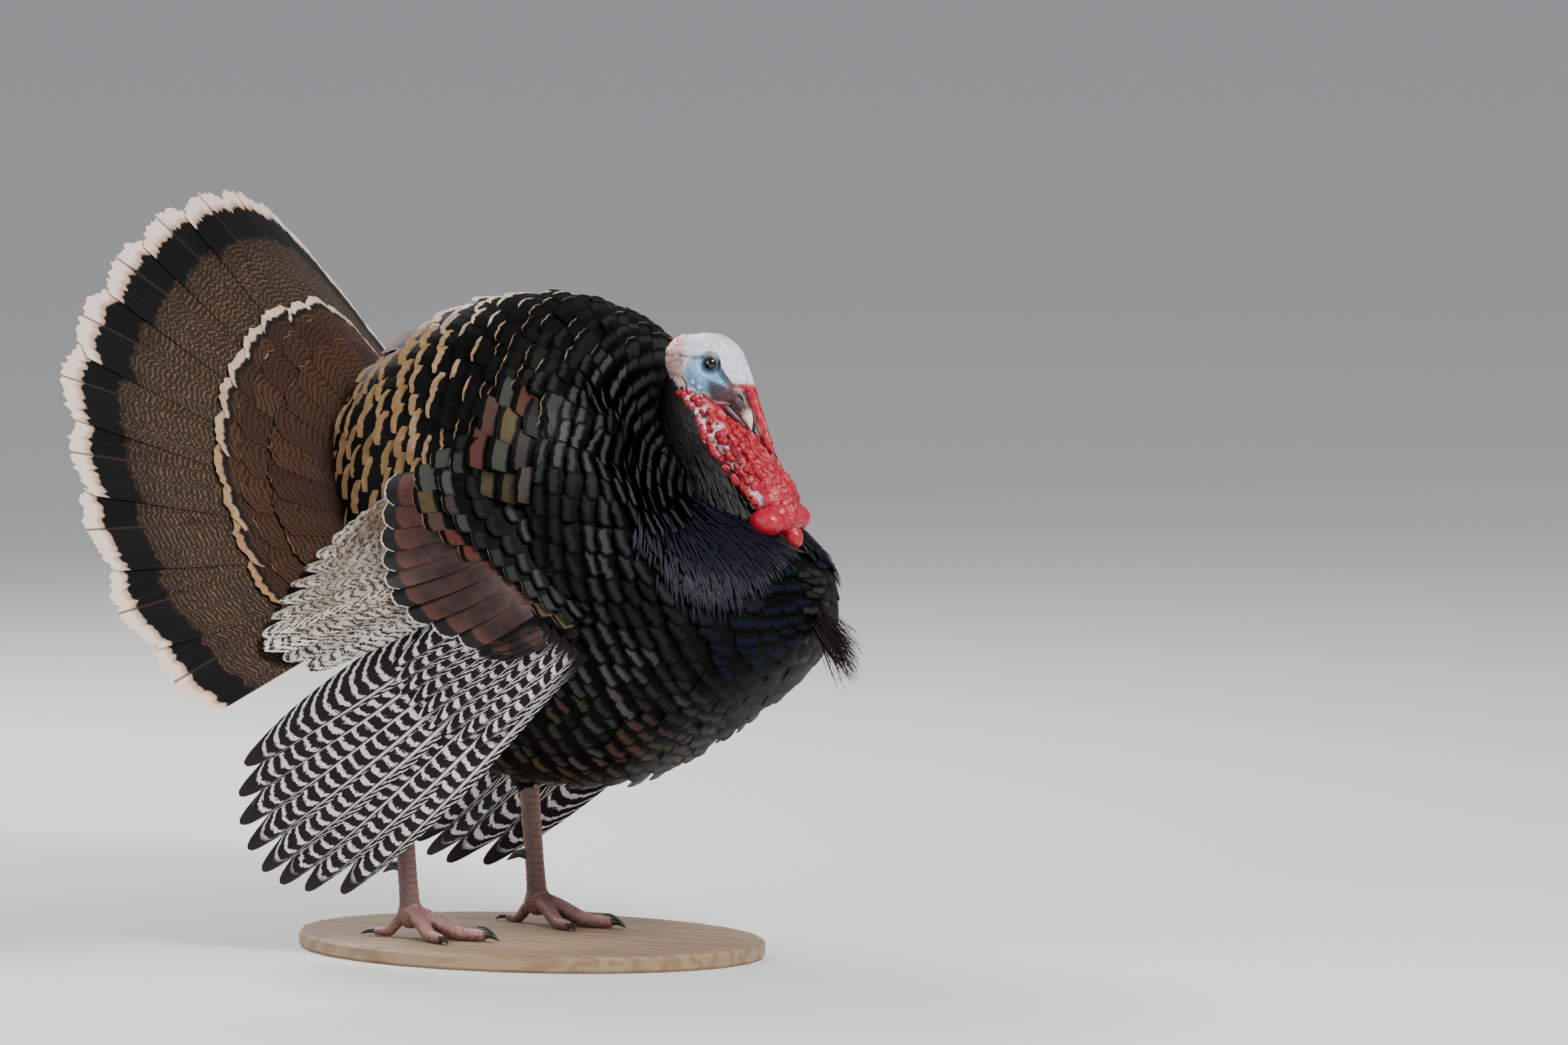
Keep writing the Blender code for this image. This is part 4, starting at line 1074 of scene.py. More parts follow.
def build_body_coat(form: PolarForm, rng: np.random.Generator) -> None:
    """Contour feathers in raised rings round the breast, back over the flanks and the back to the vent."""
    vane = Vane(rows=9, columns=9, base=0.55, rounding=0.06, taper=0.05, camber=0.05, ragged=0.0011)
    rings = spaced_rings(form, 0.1, 3.02, ((0.1, 0.6, 1.4, 2.2), (0.012, 0.0155, 0.018, 0.0225)))
    widths = np.interp(rings, (0.1, 0.7, 1.5, 2.2), (0.015, 0.02, 0.0235, 0.029))
    a, b, gap, width, bake = ring_roots(form, rings, widths, rng)
    a = a + rng.normal(0, 0.06, len(a)) * gap / 0.2
    point, _ = form.at(a, b)
    shown = ~under_wing(point)
    a, b, gap, width, bake, point = (v[shown] for v in (a, b, gap, width, bake, point))
    x, y, z = point.T
    count = len(a)
    back = ease(z, 0.4, 0.48) * ease(x, 0.12, 0.04)
    rump = ease(x, 0.045, -0.07) * ease(z, 0.375, 0.425)
    belly = ease(z, 0.34, 0.2) * ease(x, 0.24, 0.14)
    front = np.maximum(cape(point), ease(x, 0.2, 0.25) * ease(z, 0.27, 0.31))
    midline = front * ease(np.abs(y), 0.028, 0.014)
    hanging = cape(point)
    away = unit(form.read(form.along, a, b))
    lie = unit(away + np.array([0.0, 0, -0.3]) * ease(z, 0.46, 0.36)[:, None]
               + np.array([0, 0, 0.3]) * rump[:, None])
    lie = unit(lie * (1 - hanging)[:, None] + cape_lie(point) * hanging[:, None])
    lie = unit(lie + rng.normal(0, 0.03, (count, 3)))
    length = gap * (2.6 + 0.3 * back) * rng.uniform(0.96, 1.04, count)
    width = width * 1.3 * rng.uniform(0.95, 1.05, count)
    depth = 0.017 + 0.006 * back - 0.008 * front
    lift = rng.uniform(-0.001, 0.0008, count) + back * rng.uniform(0.0, 0.0055, count) - hanging * 0.004
    lift = lift + ease(z, 0.3, 0.22) * rng.uniform(0.0, 0.006, count)
    tip_depth = np.where(rump > 0.05, 0.0008 + 0.0068 * rump, 0.0) * rng.uniform(0.6, 1.15, count)
    tip_depth = tip_depth * (rng.random(count) < 0.55 + 0.45 * ease(rump, 0.2, 0.9))
    few = ease(x, 0.14, 0.06) * ease(z, 0.47, 0.5) * 0.75
    slivers = rng.uniform(0.0005, 0.0009, count) * (rng.random(count) < few)
    tip_depth = np.where((rump <= 0.05) & (back > 0.2), slivers, tip_depth)
    warm = np.clip(ease(z, 0.612, 0.57) * 0.9 + ease(x, -0.02, -0.12) * 0.4, 0.1, 1)
    warmth = np.where(tip_depth > 0, warm, 0.15 * rng.random(count))
    patches = lumps(point, 0.035, 3)
    bronze = np.clip(belly * (0.35 + 0.8 * patches), 0, 1) * (rng.random(count) < 0.75)
    bronze = np.maximum(bronze, midline * 0.1)
    blue = np.clip(front * 1.1 + 0.15 * lumps(point, 0.03, 4), 0, 1) * (1 - midline)
    # Strength of each feather's grey-green band of painted sheen: strongest on the belly, along the breast's
    # midline and in a spot on each shoulder.
    gloss = np.clip(0.55 + 0.5 * lumps(point, 0.045, 9) + 0.4 * belly, 0, 1) * (1 - back)
    gloss = gloss * ease(x, 0.25, 0.18) * ease(x, 0.02, 0.1) * (0.7 + 0.3 * rng.random(count))
    shoulder = np.exp(-((x - 0.105) / 0.055) ** 2 - ((z - 0.485) / 0.06) ** 2) * (np.abs(y) > 0.05)
    gloss = np.maximum(np.maximum(gloss, midline * 0.45), shoulder * rng.uniform(0.3, 1.0, count))
    tone = 0.42 + 0.75 * lumps(point * (1, 0.6, 0.6), 0.026, 31) + rng.uniform(-0.22, 0.22, count)
    traits = each_traits(np.clip(tone, 0, 1), tip_depth, warmth, bronze, blue, gloss)
    coat = lay(form, a, b, lie, vane, length, width, depth, lift, rng, traits, bake, FEATHER_PATCH)
    add_feathers("body_feathers", coat, contour(), "body_plumage")


def contour() -> bpy.types.Material:
    """The contour feathers' finish, made once."""
    return bpy.data.materials.get("contour_plumage") or contour_finish()


def build_thigh_coat(rng: np.random.Generator) -> None:
    """Small dark feathers down both thighs to the shanks."""
    vane = Vane(rows=6, columns=5, base=0.5, rounding=0.16, taper=0.3, camber=0.08, ragged=0.0008)
    rows, around = 17, 26
    for side in SIDES:
        form = TubeForm(thigh_path(side), [(deep - 0.002, wide - 0.002) for deep, wide in THIGH_RADII],
                        np.array([1.0, 0, 0]))
        a, b = np.meshgrid(np.linspace(0.04, 0.86, rows), turns(around) - pi, indexing="ij")
        b = b + (np.arange(rows) % 2)[:, None] * pi / around + rng.uniform(-0.06, 0.06, b.shape)
        a, b = a.ravel(), wrapped(b.ravel())
        count = len(a)
        girth = np.linalg.norm(form.read(form.across, a, b), axis=-1) * 2 * pi / around
        lie = np.array([-0.15, 0, -1.0]) + rng.normal(0, 0.06, (count, 3))
        traits = plain_traits(count, rng, warmth=0.1)
        # A little painted sheen on the bands of the thigh feathers.
        traits["hue"][:, 2] = 0.25 * rng.random(count)
        bake = unrolled(a, b)
        coat = lay(form, a, b, lie, vane, np.full(count, 0.024), girth * 1.7, np.full(count, 0.004),
                   rng.uniform(0.0002, 0.0022, count), rng, traits, bake, FEATHER_PATCH)
        add_feathers(f"thigh_{side}_feathers", coat, contour(), "body_plumage")


# ---------------------------------------------------------------- wings
@dataclass(frozen=True)
class Sheet:
    """A row of big wing feathers between a line of roots and a line of tips (left wing).

    Attributes:
        roots, tips: Points of the two lines, front to back.
        bow: How far the feathers' middles stand out.
        layer: How far the row lies outside the one beneath.
    """

    roots: tuple
    tips: tuple
    bow: float
    layer: float

    def ends(self, at: Array) -> tuple[Array, Array]:
        """Root and tip at these places across the sheet, 0 to 1."""
        root, tip = (smooth(np.linspace(0, 1, len(line)), line, at) for line in (self.roots, self.tips))
        return root, tip

    def feathers(self, at: Array, width: Array, vane: Vane, rng: np.random.Generator,
                 traits: dict[str, Array], lean: float = 0.0012, reach: float = 1.0,
                 start: float = 0.0, rise: float = 0.0) -> Feathers:
        """Feathers of this sheet.

        Args:
            at: Each feather's place across the sheet, 0 to 1.
            width: Each feather's width in metres.
            vane: The kind of feather.
            rng: Random source.
            traits: Their traits.
            lean: How far the lower edge stands over the upper.
            reach: Share of the line from root to tip at which they end.
            start: Share at which they begin.
            rise: Extra height outwards at the tips.

        Returns:
            The feathers, each with its own cell of the baking map.
        """
        step = 0.01
        here = [self.ends(t) for t in (at, np.clip(at + step, 0, 1), np.clip(at - step, 0, 1))]
        root, tip = here[0]
        line = np.linalg.norm(tip - root, axis=-1)
        length = line * (reach - start)
        share, side, along, across = vane_plan(vane, length, width, rng)
        way = start + along / line[:, None, None]
        ahead = (tip - root)[:, None, None]
        middle = root[:, None, None] + ahead * way[..., None]
        spread = [(r[:, None, None] + (t - r)[:, None, None] * way[..., None]) for r, t in here[1:]]
        sideways = unit(spread[0] - spread[1])
        sideways = unit(sideways - (sideways * unit(ahead)).sum(-1, keepdims=True) * unit(ahead))
        out = np.cross(unit(ahead), sideways)
        bulge = self.bow * np.sin(pi * np.clip(way, 0, 1)) + self.layer * ease(way, 0.0, 0.3)
        height = -lean * side + rise * share**2 - vane.camber * width[:, None, None] * side**2
        points = middle + sideways * across[..., None] + out * height[..., None]
        points = points + np.array([0, 1.0, 0]) * bulge[..., None]
        bake, patch = atlas(len(at))
        return finished(points, share, side, along, traits, bake, patch)


PRIMARIES = Sheet(
    roots=((0.112, 0.184, 0.292), (0.07, 0.19, 0.322), (0.03, 0.194, 0.345)),
    tips=((-0.165, 0.138, 0.046), (-0.222, 0.136, 0.047), (-0.25, 0.146, 0.06),
          (-0.267, 0.156, 0.09), (-0.262, 0.176, 0.13), (-0.24, 0.2, 0.176)),
    bow=0.012, layer=0.0)
SECONDARIES = Sheet(
    roots=((0.02, 0.192, 0.35), (0.0, 0.186, 0.385), (-0.015, 0.172, 0.42)),
    tips=((-0.137, 0.25, 0.268), (-0.168, 0.29, 0.293), (-0.174, 0.25, 0.328),
          (-0.172, 0.196, 0.363), (-0.15, 0.174, 0.392), (-0.116, 0.166, 0.416)),
    bow=0.006, layer=0.004)
GREAT_COVERTS = Sheet(
    roots=((0.075, 0.186, 0.34), (0.045, 0.188, 0.375), (0.022, 0.186, 0.41), (0.01, 0.178, 0.448)),
    tips=((0.01, 0.22, 0.3), (-0.05, 0.24, 0.333), (-0.082, 0.212, 0.378), (-0.092, 0.188, 0.438)),
    bow=0.006, layer=0.008)
ALULA = Sheet(
    roots=((0.134, 0.128, 0.326), (0.134, 0.128, 0.342), (0.13, 0.128, 0.358)),
    tips=((0.036, 0.198, 0.282), (0.018, 0.206, 0.286), (0.008, 0.213, 0.302)), bow=0.014, layer=0.008)
MIDDLE_COVERTS = Sheet(
    roots=((0.134, 0.106, 0.344), (0.134, 0.102, 0.38), (0.128, 0.094, 0.425), (0.116, 0.086, 0.46),
           (0.098, 0.078, 0.482)),
    tips=((0.09, 0.186, 0.312), (0.04, 0.198, 0.342), (-0.01, 0.209, 0.384), (-0.046, 0.212, 0.412),
          (-0.054, 0.208, 0.448), (-0.018, 0.186, 0.482)), bow=0.02, layer=0.002)
SCAPULARS = Sheet(
    roots=((0.112, 0.105, 0.418), (0.116, 0.105, 0.445), (0.114, 0.098, 0.47), (0.106, 0.085, 0.488),
           (0.094, 0.068, 0.502)),
    tips=((0.01, 0.176, 0.44), (-0.01, 0.182, 0.468), (-0.008, 0.172, 0.5), (0.002, 0.146, 0.528),
          (0.008, 0.104, 0.544)), bow=0.026, layer=0.004)


def shingled(sheet: Sheet, reaches: Sequence[float], width: float, rise: float, rng: np.random.Generator,
             mark: Callable[[Array, float], tuple[Array, ...]]) -> Feathers:
    """Arched rows of square-tipped coverts on a sheet, each ending nearer the roots and lying over the last.

    Args:
        sheet: The surface.
        reaches: Share of the way from roots to tips at which each row ends.
        width: Width that each feather shows.
        rise: How far a row's tips stand over the row beneath.
        rng: Random source.
        mark: Gives tip, warmth, bronze, blue and painted sheen for places across a row with this reach.

    Returns:
        The feathers, each with its own cell of the baking map.
    """
    vane = Vane(rows=10, columns=9, base=0.75, rounding=0.055, taper=0.04, camber=0.06, ragged=0.0007)
    fine = np.linspace(0, 1, 60)
    made = []
    for reach in reaches:
        root, tip = sheet.ends(fine)
        ends = root + (tip - root) * reach
        run = run_along(ends)
        count = max(int(run[-1] / width), 3)
        step = run[-1] / count
        at = np.interp((np.arange(count) + 0.5 + rng.uniform(-0.08, 0.08, count)) * step, run, fine)
        marks = [np.broadcast_to(v, count) for v in mark(at, reach)]
        tone = 0.5 + 0.45 * np.sin(at * 6.0 + reach * 15.0) + rng.uniform(-0.09, 0.09, count)
        traits = each_traits(np.clip(tone, 0, 1), *marks)
        made.append(sheet.feathers(at, np.full(count, step * 1.22), vane, rng, traits, lean=0.0008,
                                   reach=reach + rng.uniform(-0.008, 0.008), start=max(reach - 0.46, 0.0),
                                   rise=rise))
    return repacked(made)


@dataclass
class Wing:
    """The feathers of one wing; the right wing is the left one's mirror image, made with the same seed.

    Attributes:
        side: "left" or "right".
        finishes: Materials for the barred, the speckled and the bronze feathers.
        rng: Random source.
    """

    side: str
    finishes: dict[str, bpy.types.Material]
    rng: np.random.Generator = field(default_factory=lambda: np.random.default_rng(WING_SEED))

    def add(self, name: str, feathers: Feathers, finish: bpy.types.Material, node: str = "",
            slot: str = "wing_plumage") -> None:
        """Adds a piece with this name, which stands for the wing's node of that name, if one is given."""
        turned = feathers.mirrored() if self.side == "right" else feathers
        nodes = [f"wing_{self.side}_{node}"] if node else []
        add_feathers(f"wing_{self.side}_{name}", turned, finish, slot, *nodes)

    def build(self) -> None:
        """Adds every feather of the wing."""
        self.add_flight()
        self.add_secondaries()
        self.add_bronze()
        self.add_shoulder()

    def add_flight(self) -> None:
        """Primaries and the short coverts over their roots."""
        count, rng = 8, self.rng
        at = np.linspace(0.03, 0.97, count)
        traits = plain_traits(count, rng, tip=1.0, warmth=0.0, blue=0.66)
        pinion = Vane(rows=30, columns=11, base=0.55, rounding=0.085, taper=0.55, camber=0.02, ragged=0.0006)
        primaries = PRIMARIES.feathers(at, np.full(count, 0.045), pinion, rng, traits, lean=0.0016)
        count = 9
        at = np.linspace(0.04, 0.94, count)
        traits = plain_traits(count, rng, warmth=0.0, blue=0.55)
        covering = PRIMARIES.feathers(at, np.full(count, 0.024), replace(pinion, rows=16, rounding=0.14), rng,
                                      traits, lean=0.001, reach=0.4)
        covering.points[..., 1] += 0.0042
        self.add("flight", primaries, self.finishes["barred"], "primaries")
        self.add("primary_coverts", covering, self.finishes["barred"])

    def add_secondaries(self) -> None:
        """Speckled secondaries, row upon row."""
        rows, count, rng = [], 13, self.rng
        arm = Vane(rows=16, columns=7, base=0.6, rounding=0.1, taper=0.1, camber=0.03, ragged=0.0015)
        reaches_and_warmth = ((1.0, 0.35), (0.9, 0.7), (0.8, 0.8), (0.7, 0.7), (0.6, 0.75))
        for index, (reach, warm) in enumerate(reaches_and_warmth):
            at = np.linspace(0.02 + 0.01 * index, 0.98, count) + rng.normal(0, 0.006, count)
            traits = plain_traits(count, rng)
            warmth = warm - 0.6 * ease(at, 0.35, 0.0) + 0.45 * ease(at, 0.6, 1.0)
            traits["trait"][:, 2] = np.clip(warmth + rng.normal(0, 0.05, count), 0, 1)
            made = SECONDARIES.feathers(np.clip(at, 0.0, 1.0), np.full(count, 0.026), arm, rng, traits,
                                        lean=0.001, reach=reach)
            made.points[..., 1] += 0.0008 * index
            rows.append(made)
        self.add("secondary_rows", repacked(rows), self.finishes["speckled"], "secondaries")

    def add_bronze(self) -> None:
        """The plate of great coverts and the alula."""
        count, rng = 9, self.rng
        at = np.linspace(0.02, 0.98, count)
        traits = plain_traits(count, rng, gloss=1.0)
        traits["hue"][:, 0] = ease(at, 0.5, 1.0)
        great = Vane(rows=16, columns=9, base=0.75, rounding=0.11, taper=0.05, camber=0.02, ragged=0.0006)
        plate = GREAT_COVERTS.feathers(at, np.full(count, 0.034), great, rng, traits, lean=0.0016)
        self.add("great_coverts", plate, self.finishes["bronze"], "tertials")
        count = 5
        at = np.linspace(0.05, 0.95, count)
        traits = plain_traits(count, rng, warmth=0.0, gloss=0.1)
        alula = ALULA.feathers(at, np.full(count, 0.015), replace(great, rounding=0.16), rng, traits,
                               lean=0.0014)
        self.add("alula", alula, self.finishes["bronze"])

    def add_shoulder(self) -> None:
        """Coverts and scapulars over the domes of the shoulder."""
        coverts = shingled(MIDDLE_COVERTS, (1.0, 0.85, 0.71, 0.58, 0.46, 0.35), 0.0215, 0.0075, self.rng,
                           self.covert_mark)
        self.add("lesser_coverts", coverts, contour(), "coverts", "body_plumage")
        scapulars = shingled(SCAPULARS, (1.0, 0.82, 0.65, 0.49, 0.34), 0.027, 0.0095, self.rng,
                             self.scapular_mark)
        self.add("scapular_rows", scapulars, contour(), "scapulars", "body_plumage")

    def covert_mark(self, at: Array, reach: float) -> tuple[Array, ...]:
        """Tip, warmth, bronze, blue and painted sheen of the coverts: copper on the outermost rows."""
        outer = ease(reach, 0.78, 0.95)
        copper = np.clip(outer + 0.5 * ease(at, 0.45, 0.1) - 0.1, 0, 1) * (self.rng.random(len(at)) < 0.85)
        inside = ease(at, 1.0, 0.86)
        return (0.0008 * outer * inside, 0.1 + 0.9 * outer, copper * (0.25 + 0.75 * outer) * inside, 0.1,
                (0.25 + 0.6 * self.rng.random(len(at))) * inside)

    def scapular_mark(self, at: Array, reach: float) -> tuple[Array, ...]:
        """The same of the scapulars: bronze on the rearmost rows, a grey-green band of painted sheen on the
        others.
        """
        rear = ease(reach, 0.55, 0.85)
        inside = ease(at, 0.0, 0.16) * ease(at, 1.0, 0.92)
        return (0.0, 0.45 + 0.55 * rear, 0.85 * rear * inside, 0.25 * (1 - rear),
                (0.5 + 0.5 * self.rng.random(len(at))) * inside)


# ---------------------------------------------------------------- skin
Shell = tuple[Array, Array]  # points (n, 3) and quads (m, 4)


def tube(path: Sequence, radii: Sequence, front: Sequence = (1.0, 0.0, 0.0), rows: int = 40,
         columns: int = 24) -> Shell:
    """A closed tube with rounded ends along a curve through the path's points.

    Args:
        path: Points (n, 3).
        radii: For each point, the radius sideways and the radius towards `front`.
        front: Direction that the second radius lies near.
        rows, columns: Points along it and round it.
    """
    at = np.linspace(0, len(path) - 1, rows)
    middle, sizes = through(path, at), through(radii, at)
    heading = unit(np.gradient(middle, axis=0))
    cap = np.linspace(0.05, pi / 2, 5)
    ends = []
    for end, sign in ((0, -1.0), (-1, 1.0)):
        reach = sizes[end].mean() * np.sin(cap)[:, None] * heading[end] * sign
        ends.append((middle[end] + reach, sizes[end] * np.maximum(np.cos(cap), 1e-4)[:, None]))
    middle = np.concatenate([ends[0][0][::-1], middle, ends[1][0]])
    sizes = np.concatenate([ends[0][1][::-1], sizes, ends[1][1]])
    heading = np.concatenate([np.repeat(heading[:1], 5, 0), heading, np.repeat(heading[-1:], 5, 0)])
    front = np.asarray(front, float)
    ahead = unit(front - (heading @ front)[:, None] * heading)
    side = np.cross(heading, ahead)
    turn = turns(columns)
    points = (middle[:, None] + ahead[:, None] * sizes[:, None, 1:] * np.cos(turn)[None, :, None]
              + side[:, None] * sizes[:, None, :1] * np.sin(turn)[None, :, None])
    return ring_shell(points)


def ring_shell(points: Array) -> Shell:
    """A shell of closed rings (rows, columns, 3), each joined to the next."""
    rows, columns = points.shape[:2]
    r, c = np.meshgrid(np.arange(rows - 1), np.arange(columns), indexing="ij")
    here, there = r * columns + c, r * columns + (c + 1) % columns
    faces = np.stack([here, there, there + columns, here + columns], axis=-1).reshape(-1, 4)
    return points.reshape(-1, 3), faces


def ball(middle: Sequence, half: Sequence, rows: int = 14, columns: int = 20) -> Shell:
    """An egg with these half sizes."""
    rise = np.linspace(-pi / 2 + 0.01, pi / 2 - 0.01, rows)
    turn = turns(columns)
    out = np.stack([np.cos(rise)[:, None] * np.cos(turn), np.cos(rise)[:, None] * np.sin(turn),
                    np.sin(rise)[:, None] * np.ones(columns)], axis=-1)
    return ring_shell(np.asarray(middle) + out * np.asarray(half))


def together(shells: Sequence[Shell]) -> Shell:
    """Several shells as one."""
    starts = np.cumsum([0] + [len(points) for points, _ in shells[:-1]])
    return (np.concatenate([points for points, _ in shells]),
            np.concatenate([faces + start for (_, faces), start in zip(shells, starts)]))


def melted(shells: Sequence[Shell], voxel: float, rounds: int) -> tuple[Array, Array, Array]:
    """Closed shells melted into one smooth surface.

    Args:
        shells: The shells, which may cut into each other.
        voxel: Size of the cells that the surface is found in.
        rounds: How often the surface is smoothed.

    Returns:
        Its points, quads and normals.
    """
    points, faces = together(shells)
    mesh = bpy.data.meshes.new("melting")
    mesh.from_pydata(points.tolist(), [], faces.tolist())
    obj = bpy.data.objects.new("melting", mesh)
    bpy.context.scene.collection.objects.link(obj)
    remesh = obj.modifiers.new("remesh", "REMESH")
    remesh.mode = "VOXEL"
    remesh.voxel_size = voxel
    relax = obj.modifiers.new("relax", "SMOOTH")
    relax.factor = 0.5
    relax.iterations = rounds
    made = obj.evaluated_get(bpy.context.evaluated_depsgraph_get()).to_mesh()
    corners = np.empty(len(made.loops), np.int32)
    made.loops.foreach_get("vertex_index", corners)
    vectors = []
    for name in ("co", "normal"):
        vector = np.empty(len(made.vertices) * 3, np.float32)
        made.vertices.foreach_get(name, vector)
        vectors.append(vector.reshape(-1, 3).astype(float))
    bpy.data.objects.remove(obj)
    bpy.data.meshes.remove(mesh)
    return vectors[0], corners.reshape(-1, 4), vectors[1]


HEAD = np.array([  # x, middle z, half height, half width
    (0.107, 0.5505, 0.015, 0.012), (0.116, 0.549, 0.024, 0.0178), (0.131, 0.5455, 0.0295, 0.0213),
    (0.148, 0.5425, 0.034, 0.022), (0.166, 0.5405, 0.0315, 0.0195), (0.179, 0.5385, 0.0215, 0.0145)])
HEAD_ENDS = ((0.1025, 0.551), (0.187, 0.5335))
EYE, EYE_RADIUS = np.array([0.1557, 0.0135, 0.5495]), 0.0076
EYE_WAY = unit(np.array([0.2, 1.0, 0.05]))
NECK = np.array([  # x, z, half depth, half width
    (0.12, 0.548, 0.022, 0.017), (0.124, 0.52, 0.028, 0.024), (0.132, 0.475, 0.04, 0.034),
    (0.15, 0.425, 0.05, 0.044), (0.166, 0.375, 0.052, 0.05), (0.17, 0.335, 0.036, 0.036)])
SNOOD_PATH = ((0.18, 0.004, 0.543), (0.188, 0.004, 0.526), (0.195, 0.004, 0.506), (0.2035, 0.004, 0.484),
              (0.211, 0.004, 0.469))
SNOOD_RADII = (0.006, 0.0056, 0.005, 0.0042, 0.003)
WATTLE_PATH = ((0.15, 0, 0.505), (0.174, 0, 0.478), (0.196, 0, 0.452), (0.214, 0, 0.426), (0.226, 0, 0.406))
WATTLE_RADII = ((0.009, 0.009), (0.0165, 0.015), (0.0205, 0.019), (0.0235, 0.02), (0.018, 0.016))
THROAT_WAY = unit(np.subtract(WATTLE_PATH[-1], WATTLE_PATH[0]))
BEHIND_THROAT = np.array([THROAT_WAY[2], 0, -THROAT_WAY[0]])  # square to the throat, backwards and down
BALLS = (((0.22, -0.023, 0.4035), (0.018, 0.0145, 0.0135)), ((0.2255, 0.023, 0.405), (0.015, 0.0135, 0.0135)),
         ((0.2365, -0.001, 0.388), (0.0095, 0.009, 0.0115)))


def head_shell() -> Shell:
    """The head as upright rings from the nape to the forehead."""
    knots = np.concatenate([[HEAD_ENDS[0][0]], HEAD[:, 0], [HEAD_ENDS[1][0]]])
    sizes = np.vstack([(HEAD_ENDS[0][1], 0.004, 0.004), HEAD[:, 1:], (HEAD_ENDS[1][1], 0.006, 0.005)])
    rows, columns = 50, 40
    x = np.linspace(knots[0], knots[-1], rows)
    z, high, wide = smooth(knots, sizes, x).T
    shrink = np.ones(rows)
    shrink[[0, -1]] = 0.02
    turn = turns(columns)
    sideways = (wide * shrink)[:, None] * np.sin(turn)
    up = z[:, None] + (high * shrink)[:, None] * np.cos(turn)
    return ring_shell(np.stack([np.broadcast_to(x[:, None], (rows, columns)), sideways, up], axis=-1))


WART_LINE = ((0.126, 0.524), (0.137, 0.51), (0.148, 0.494), (0.16, 0.478), (0.172, 0.462), (0.184, 0.447),
             (0.197, 0.434), (0.2075, 0.4225))
NECK_EDGE = ((0.424, 0.434, 0.46, 0.487, 0.52), (0.0235, 0.0235, 0.0238, 0.0245, 0.0205))  # z, half width


def wart_balls(rng: np.random.Generator) -> tuple[list[Shell], list[Shell]]:
    """The warts in columns down each rear edge of the bare neck, and the lumps over its lower half."""
    chain = []
    for side in (-1, 1):
        for column, step in ((0.0, 0.31), (0.0085, 0.36), (0.0165, 0.42)):
            for at in np.arange(0.1, 7.01 - column * 60, step):
                x, z = through(WART_LINE, np.array([at]))[0] + rng.uniform(-0.002, 0.002, 2)
                x, z = x + column * 0.8, z + column * 0.55
                size = rng.uniform(0.0026, 0.0048) * (1 - column * 12)
                wide = np.interp(z, *NECK_EDGE) + column * 0.05
                half = (size, size * 0.85, size * rng.uniform(0.9, 1.3))
                chain.append(ball((x, side * wide, z), half, 8, 12))
    form = TubeForm(WATTLE_PATH, [(deep, wide) for wide, deep in WATTLE_RADII], np.array([1.0, 0, 0.4]))
    bulges = []
    for along in np.linspace(0.24, 1.0, 8):
        for turn in np.linspace(-1.9, 1.9, 6) + rng.uniform(-0.2, 0.2, 6):
            size = rng.uniform(0.0055, 0.0092) * (0.75 + 0.35 * along)
            point, normal = form.at(np.array(along + rng.uniform(-0.03, 0.03)), np.array(turn))
            bulges.append(ball(point - normal * size * 0.62, (size, size, size * 1.15), 8, 12))
    return chain, bulges


def about_eye(points: Array) -> tuple[Array, Array]:
    """Each point's height along the nearer eye's axis, from its middle, and its distance from that axis."""
    local = points * nearer_side(points) - EYE
    rise = local @ EYE_WAY
    return rise, np.linalg.norm(local - rise[:, None] * EYE_WAY, axis=1)


def nearer_side(points: Array) -> Array:
    """For each point, the factors that bring it to the left side."""
    one = np.ones(len(points))
    return np.stack([one, np.where(points[:, 1] < 0, -1.0, 1.0), one], axis=-1)


def brow_rise(x: Array, z: Array) -> Array:
    """Height over the line of the brow, which runs level and falls towards the bill."""
    return z - (0.556 - ease(x, 0.16, 0.182) * 0.026)


def ball_level(points: Array) -> Array:
    """0 at the middle of the nearest throat ball and 1 on its surface."""
    return np.min([np.linalg.norm((points - middle) / half, axis=-1) for middle, half in BALLS], axis=0)


def socket(points: Array) -> Array:
    """Where the skin lies round the eyes.

    At distance q from the eye's own axis it is inside the eyeball up to 6.3 mm, follows a sphere 0.8 mm
    outside it up to 8 mm, and runs out to the head's own surface by 12 mm.
    """
    rise, q = about_eye(points)
    lid = np.sqrt(np.maximum((EYE_RADIUS + 0.0009) ** 2 - q**2, 0))
    wanted = lid + (0.0022 - lid) * ease(q, 0.0071, 0.0063)
    share = ease(q, 0.0125, 0.0082) * (rise > 0)
    moved = (wanted - rise) * share
    return points + moved[:, None] * EYE_WAY * nearer_side(points)


@dataclass(frozen=True)
class Zone:
    """A soft oval seen from the side, used to say where a colour lies.

    Attributes:
        middle: Its middle, x and z.
        half: Its half sizes.
        turn: Degrees that it leans, nose down.
        soft: How wide its edge is, as a share of its size.
    """

    middle: tuple[float, float]
    half: tuple[float, float]
    turn: float = 0.0
    soft: float = 0.25

    def level(self, x: Array, z: Array) -> Array:
        """0 at the middle, 1 on the edge."""
        lean = radians(self.turn)
        u, v = x - self.middle[0], z - self.middle[1]
        along, up = u * cos(lean) - v * sin(lean), u * sin(lean) + v * cos(lean)
        return (np.abs(along / self.half[0]) ** 2.4 + np.abs(up / self.half[1]) ** 2.4) ** (1 / 2.4)

    def mask(self, x: Array, z: Array) -> Array:
        """1 inside, 0 outside."""
        return ease(self.level(x, z), 1 + self.soft, 1 - self.soft)


GAPE = np.array([(0.155, 0.524), (0.165, 0.522), (0.175, 0.515), (0.185, 0.507), (0.1985, 0.49)])
FACE = Zone((0.1545, 0.5395), (0.0215, 0.0165), 22, 0.1)
EAR = Zone((0.1265, 0.554), (0.008, 0.0062), 0, 0.3)


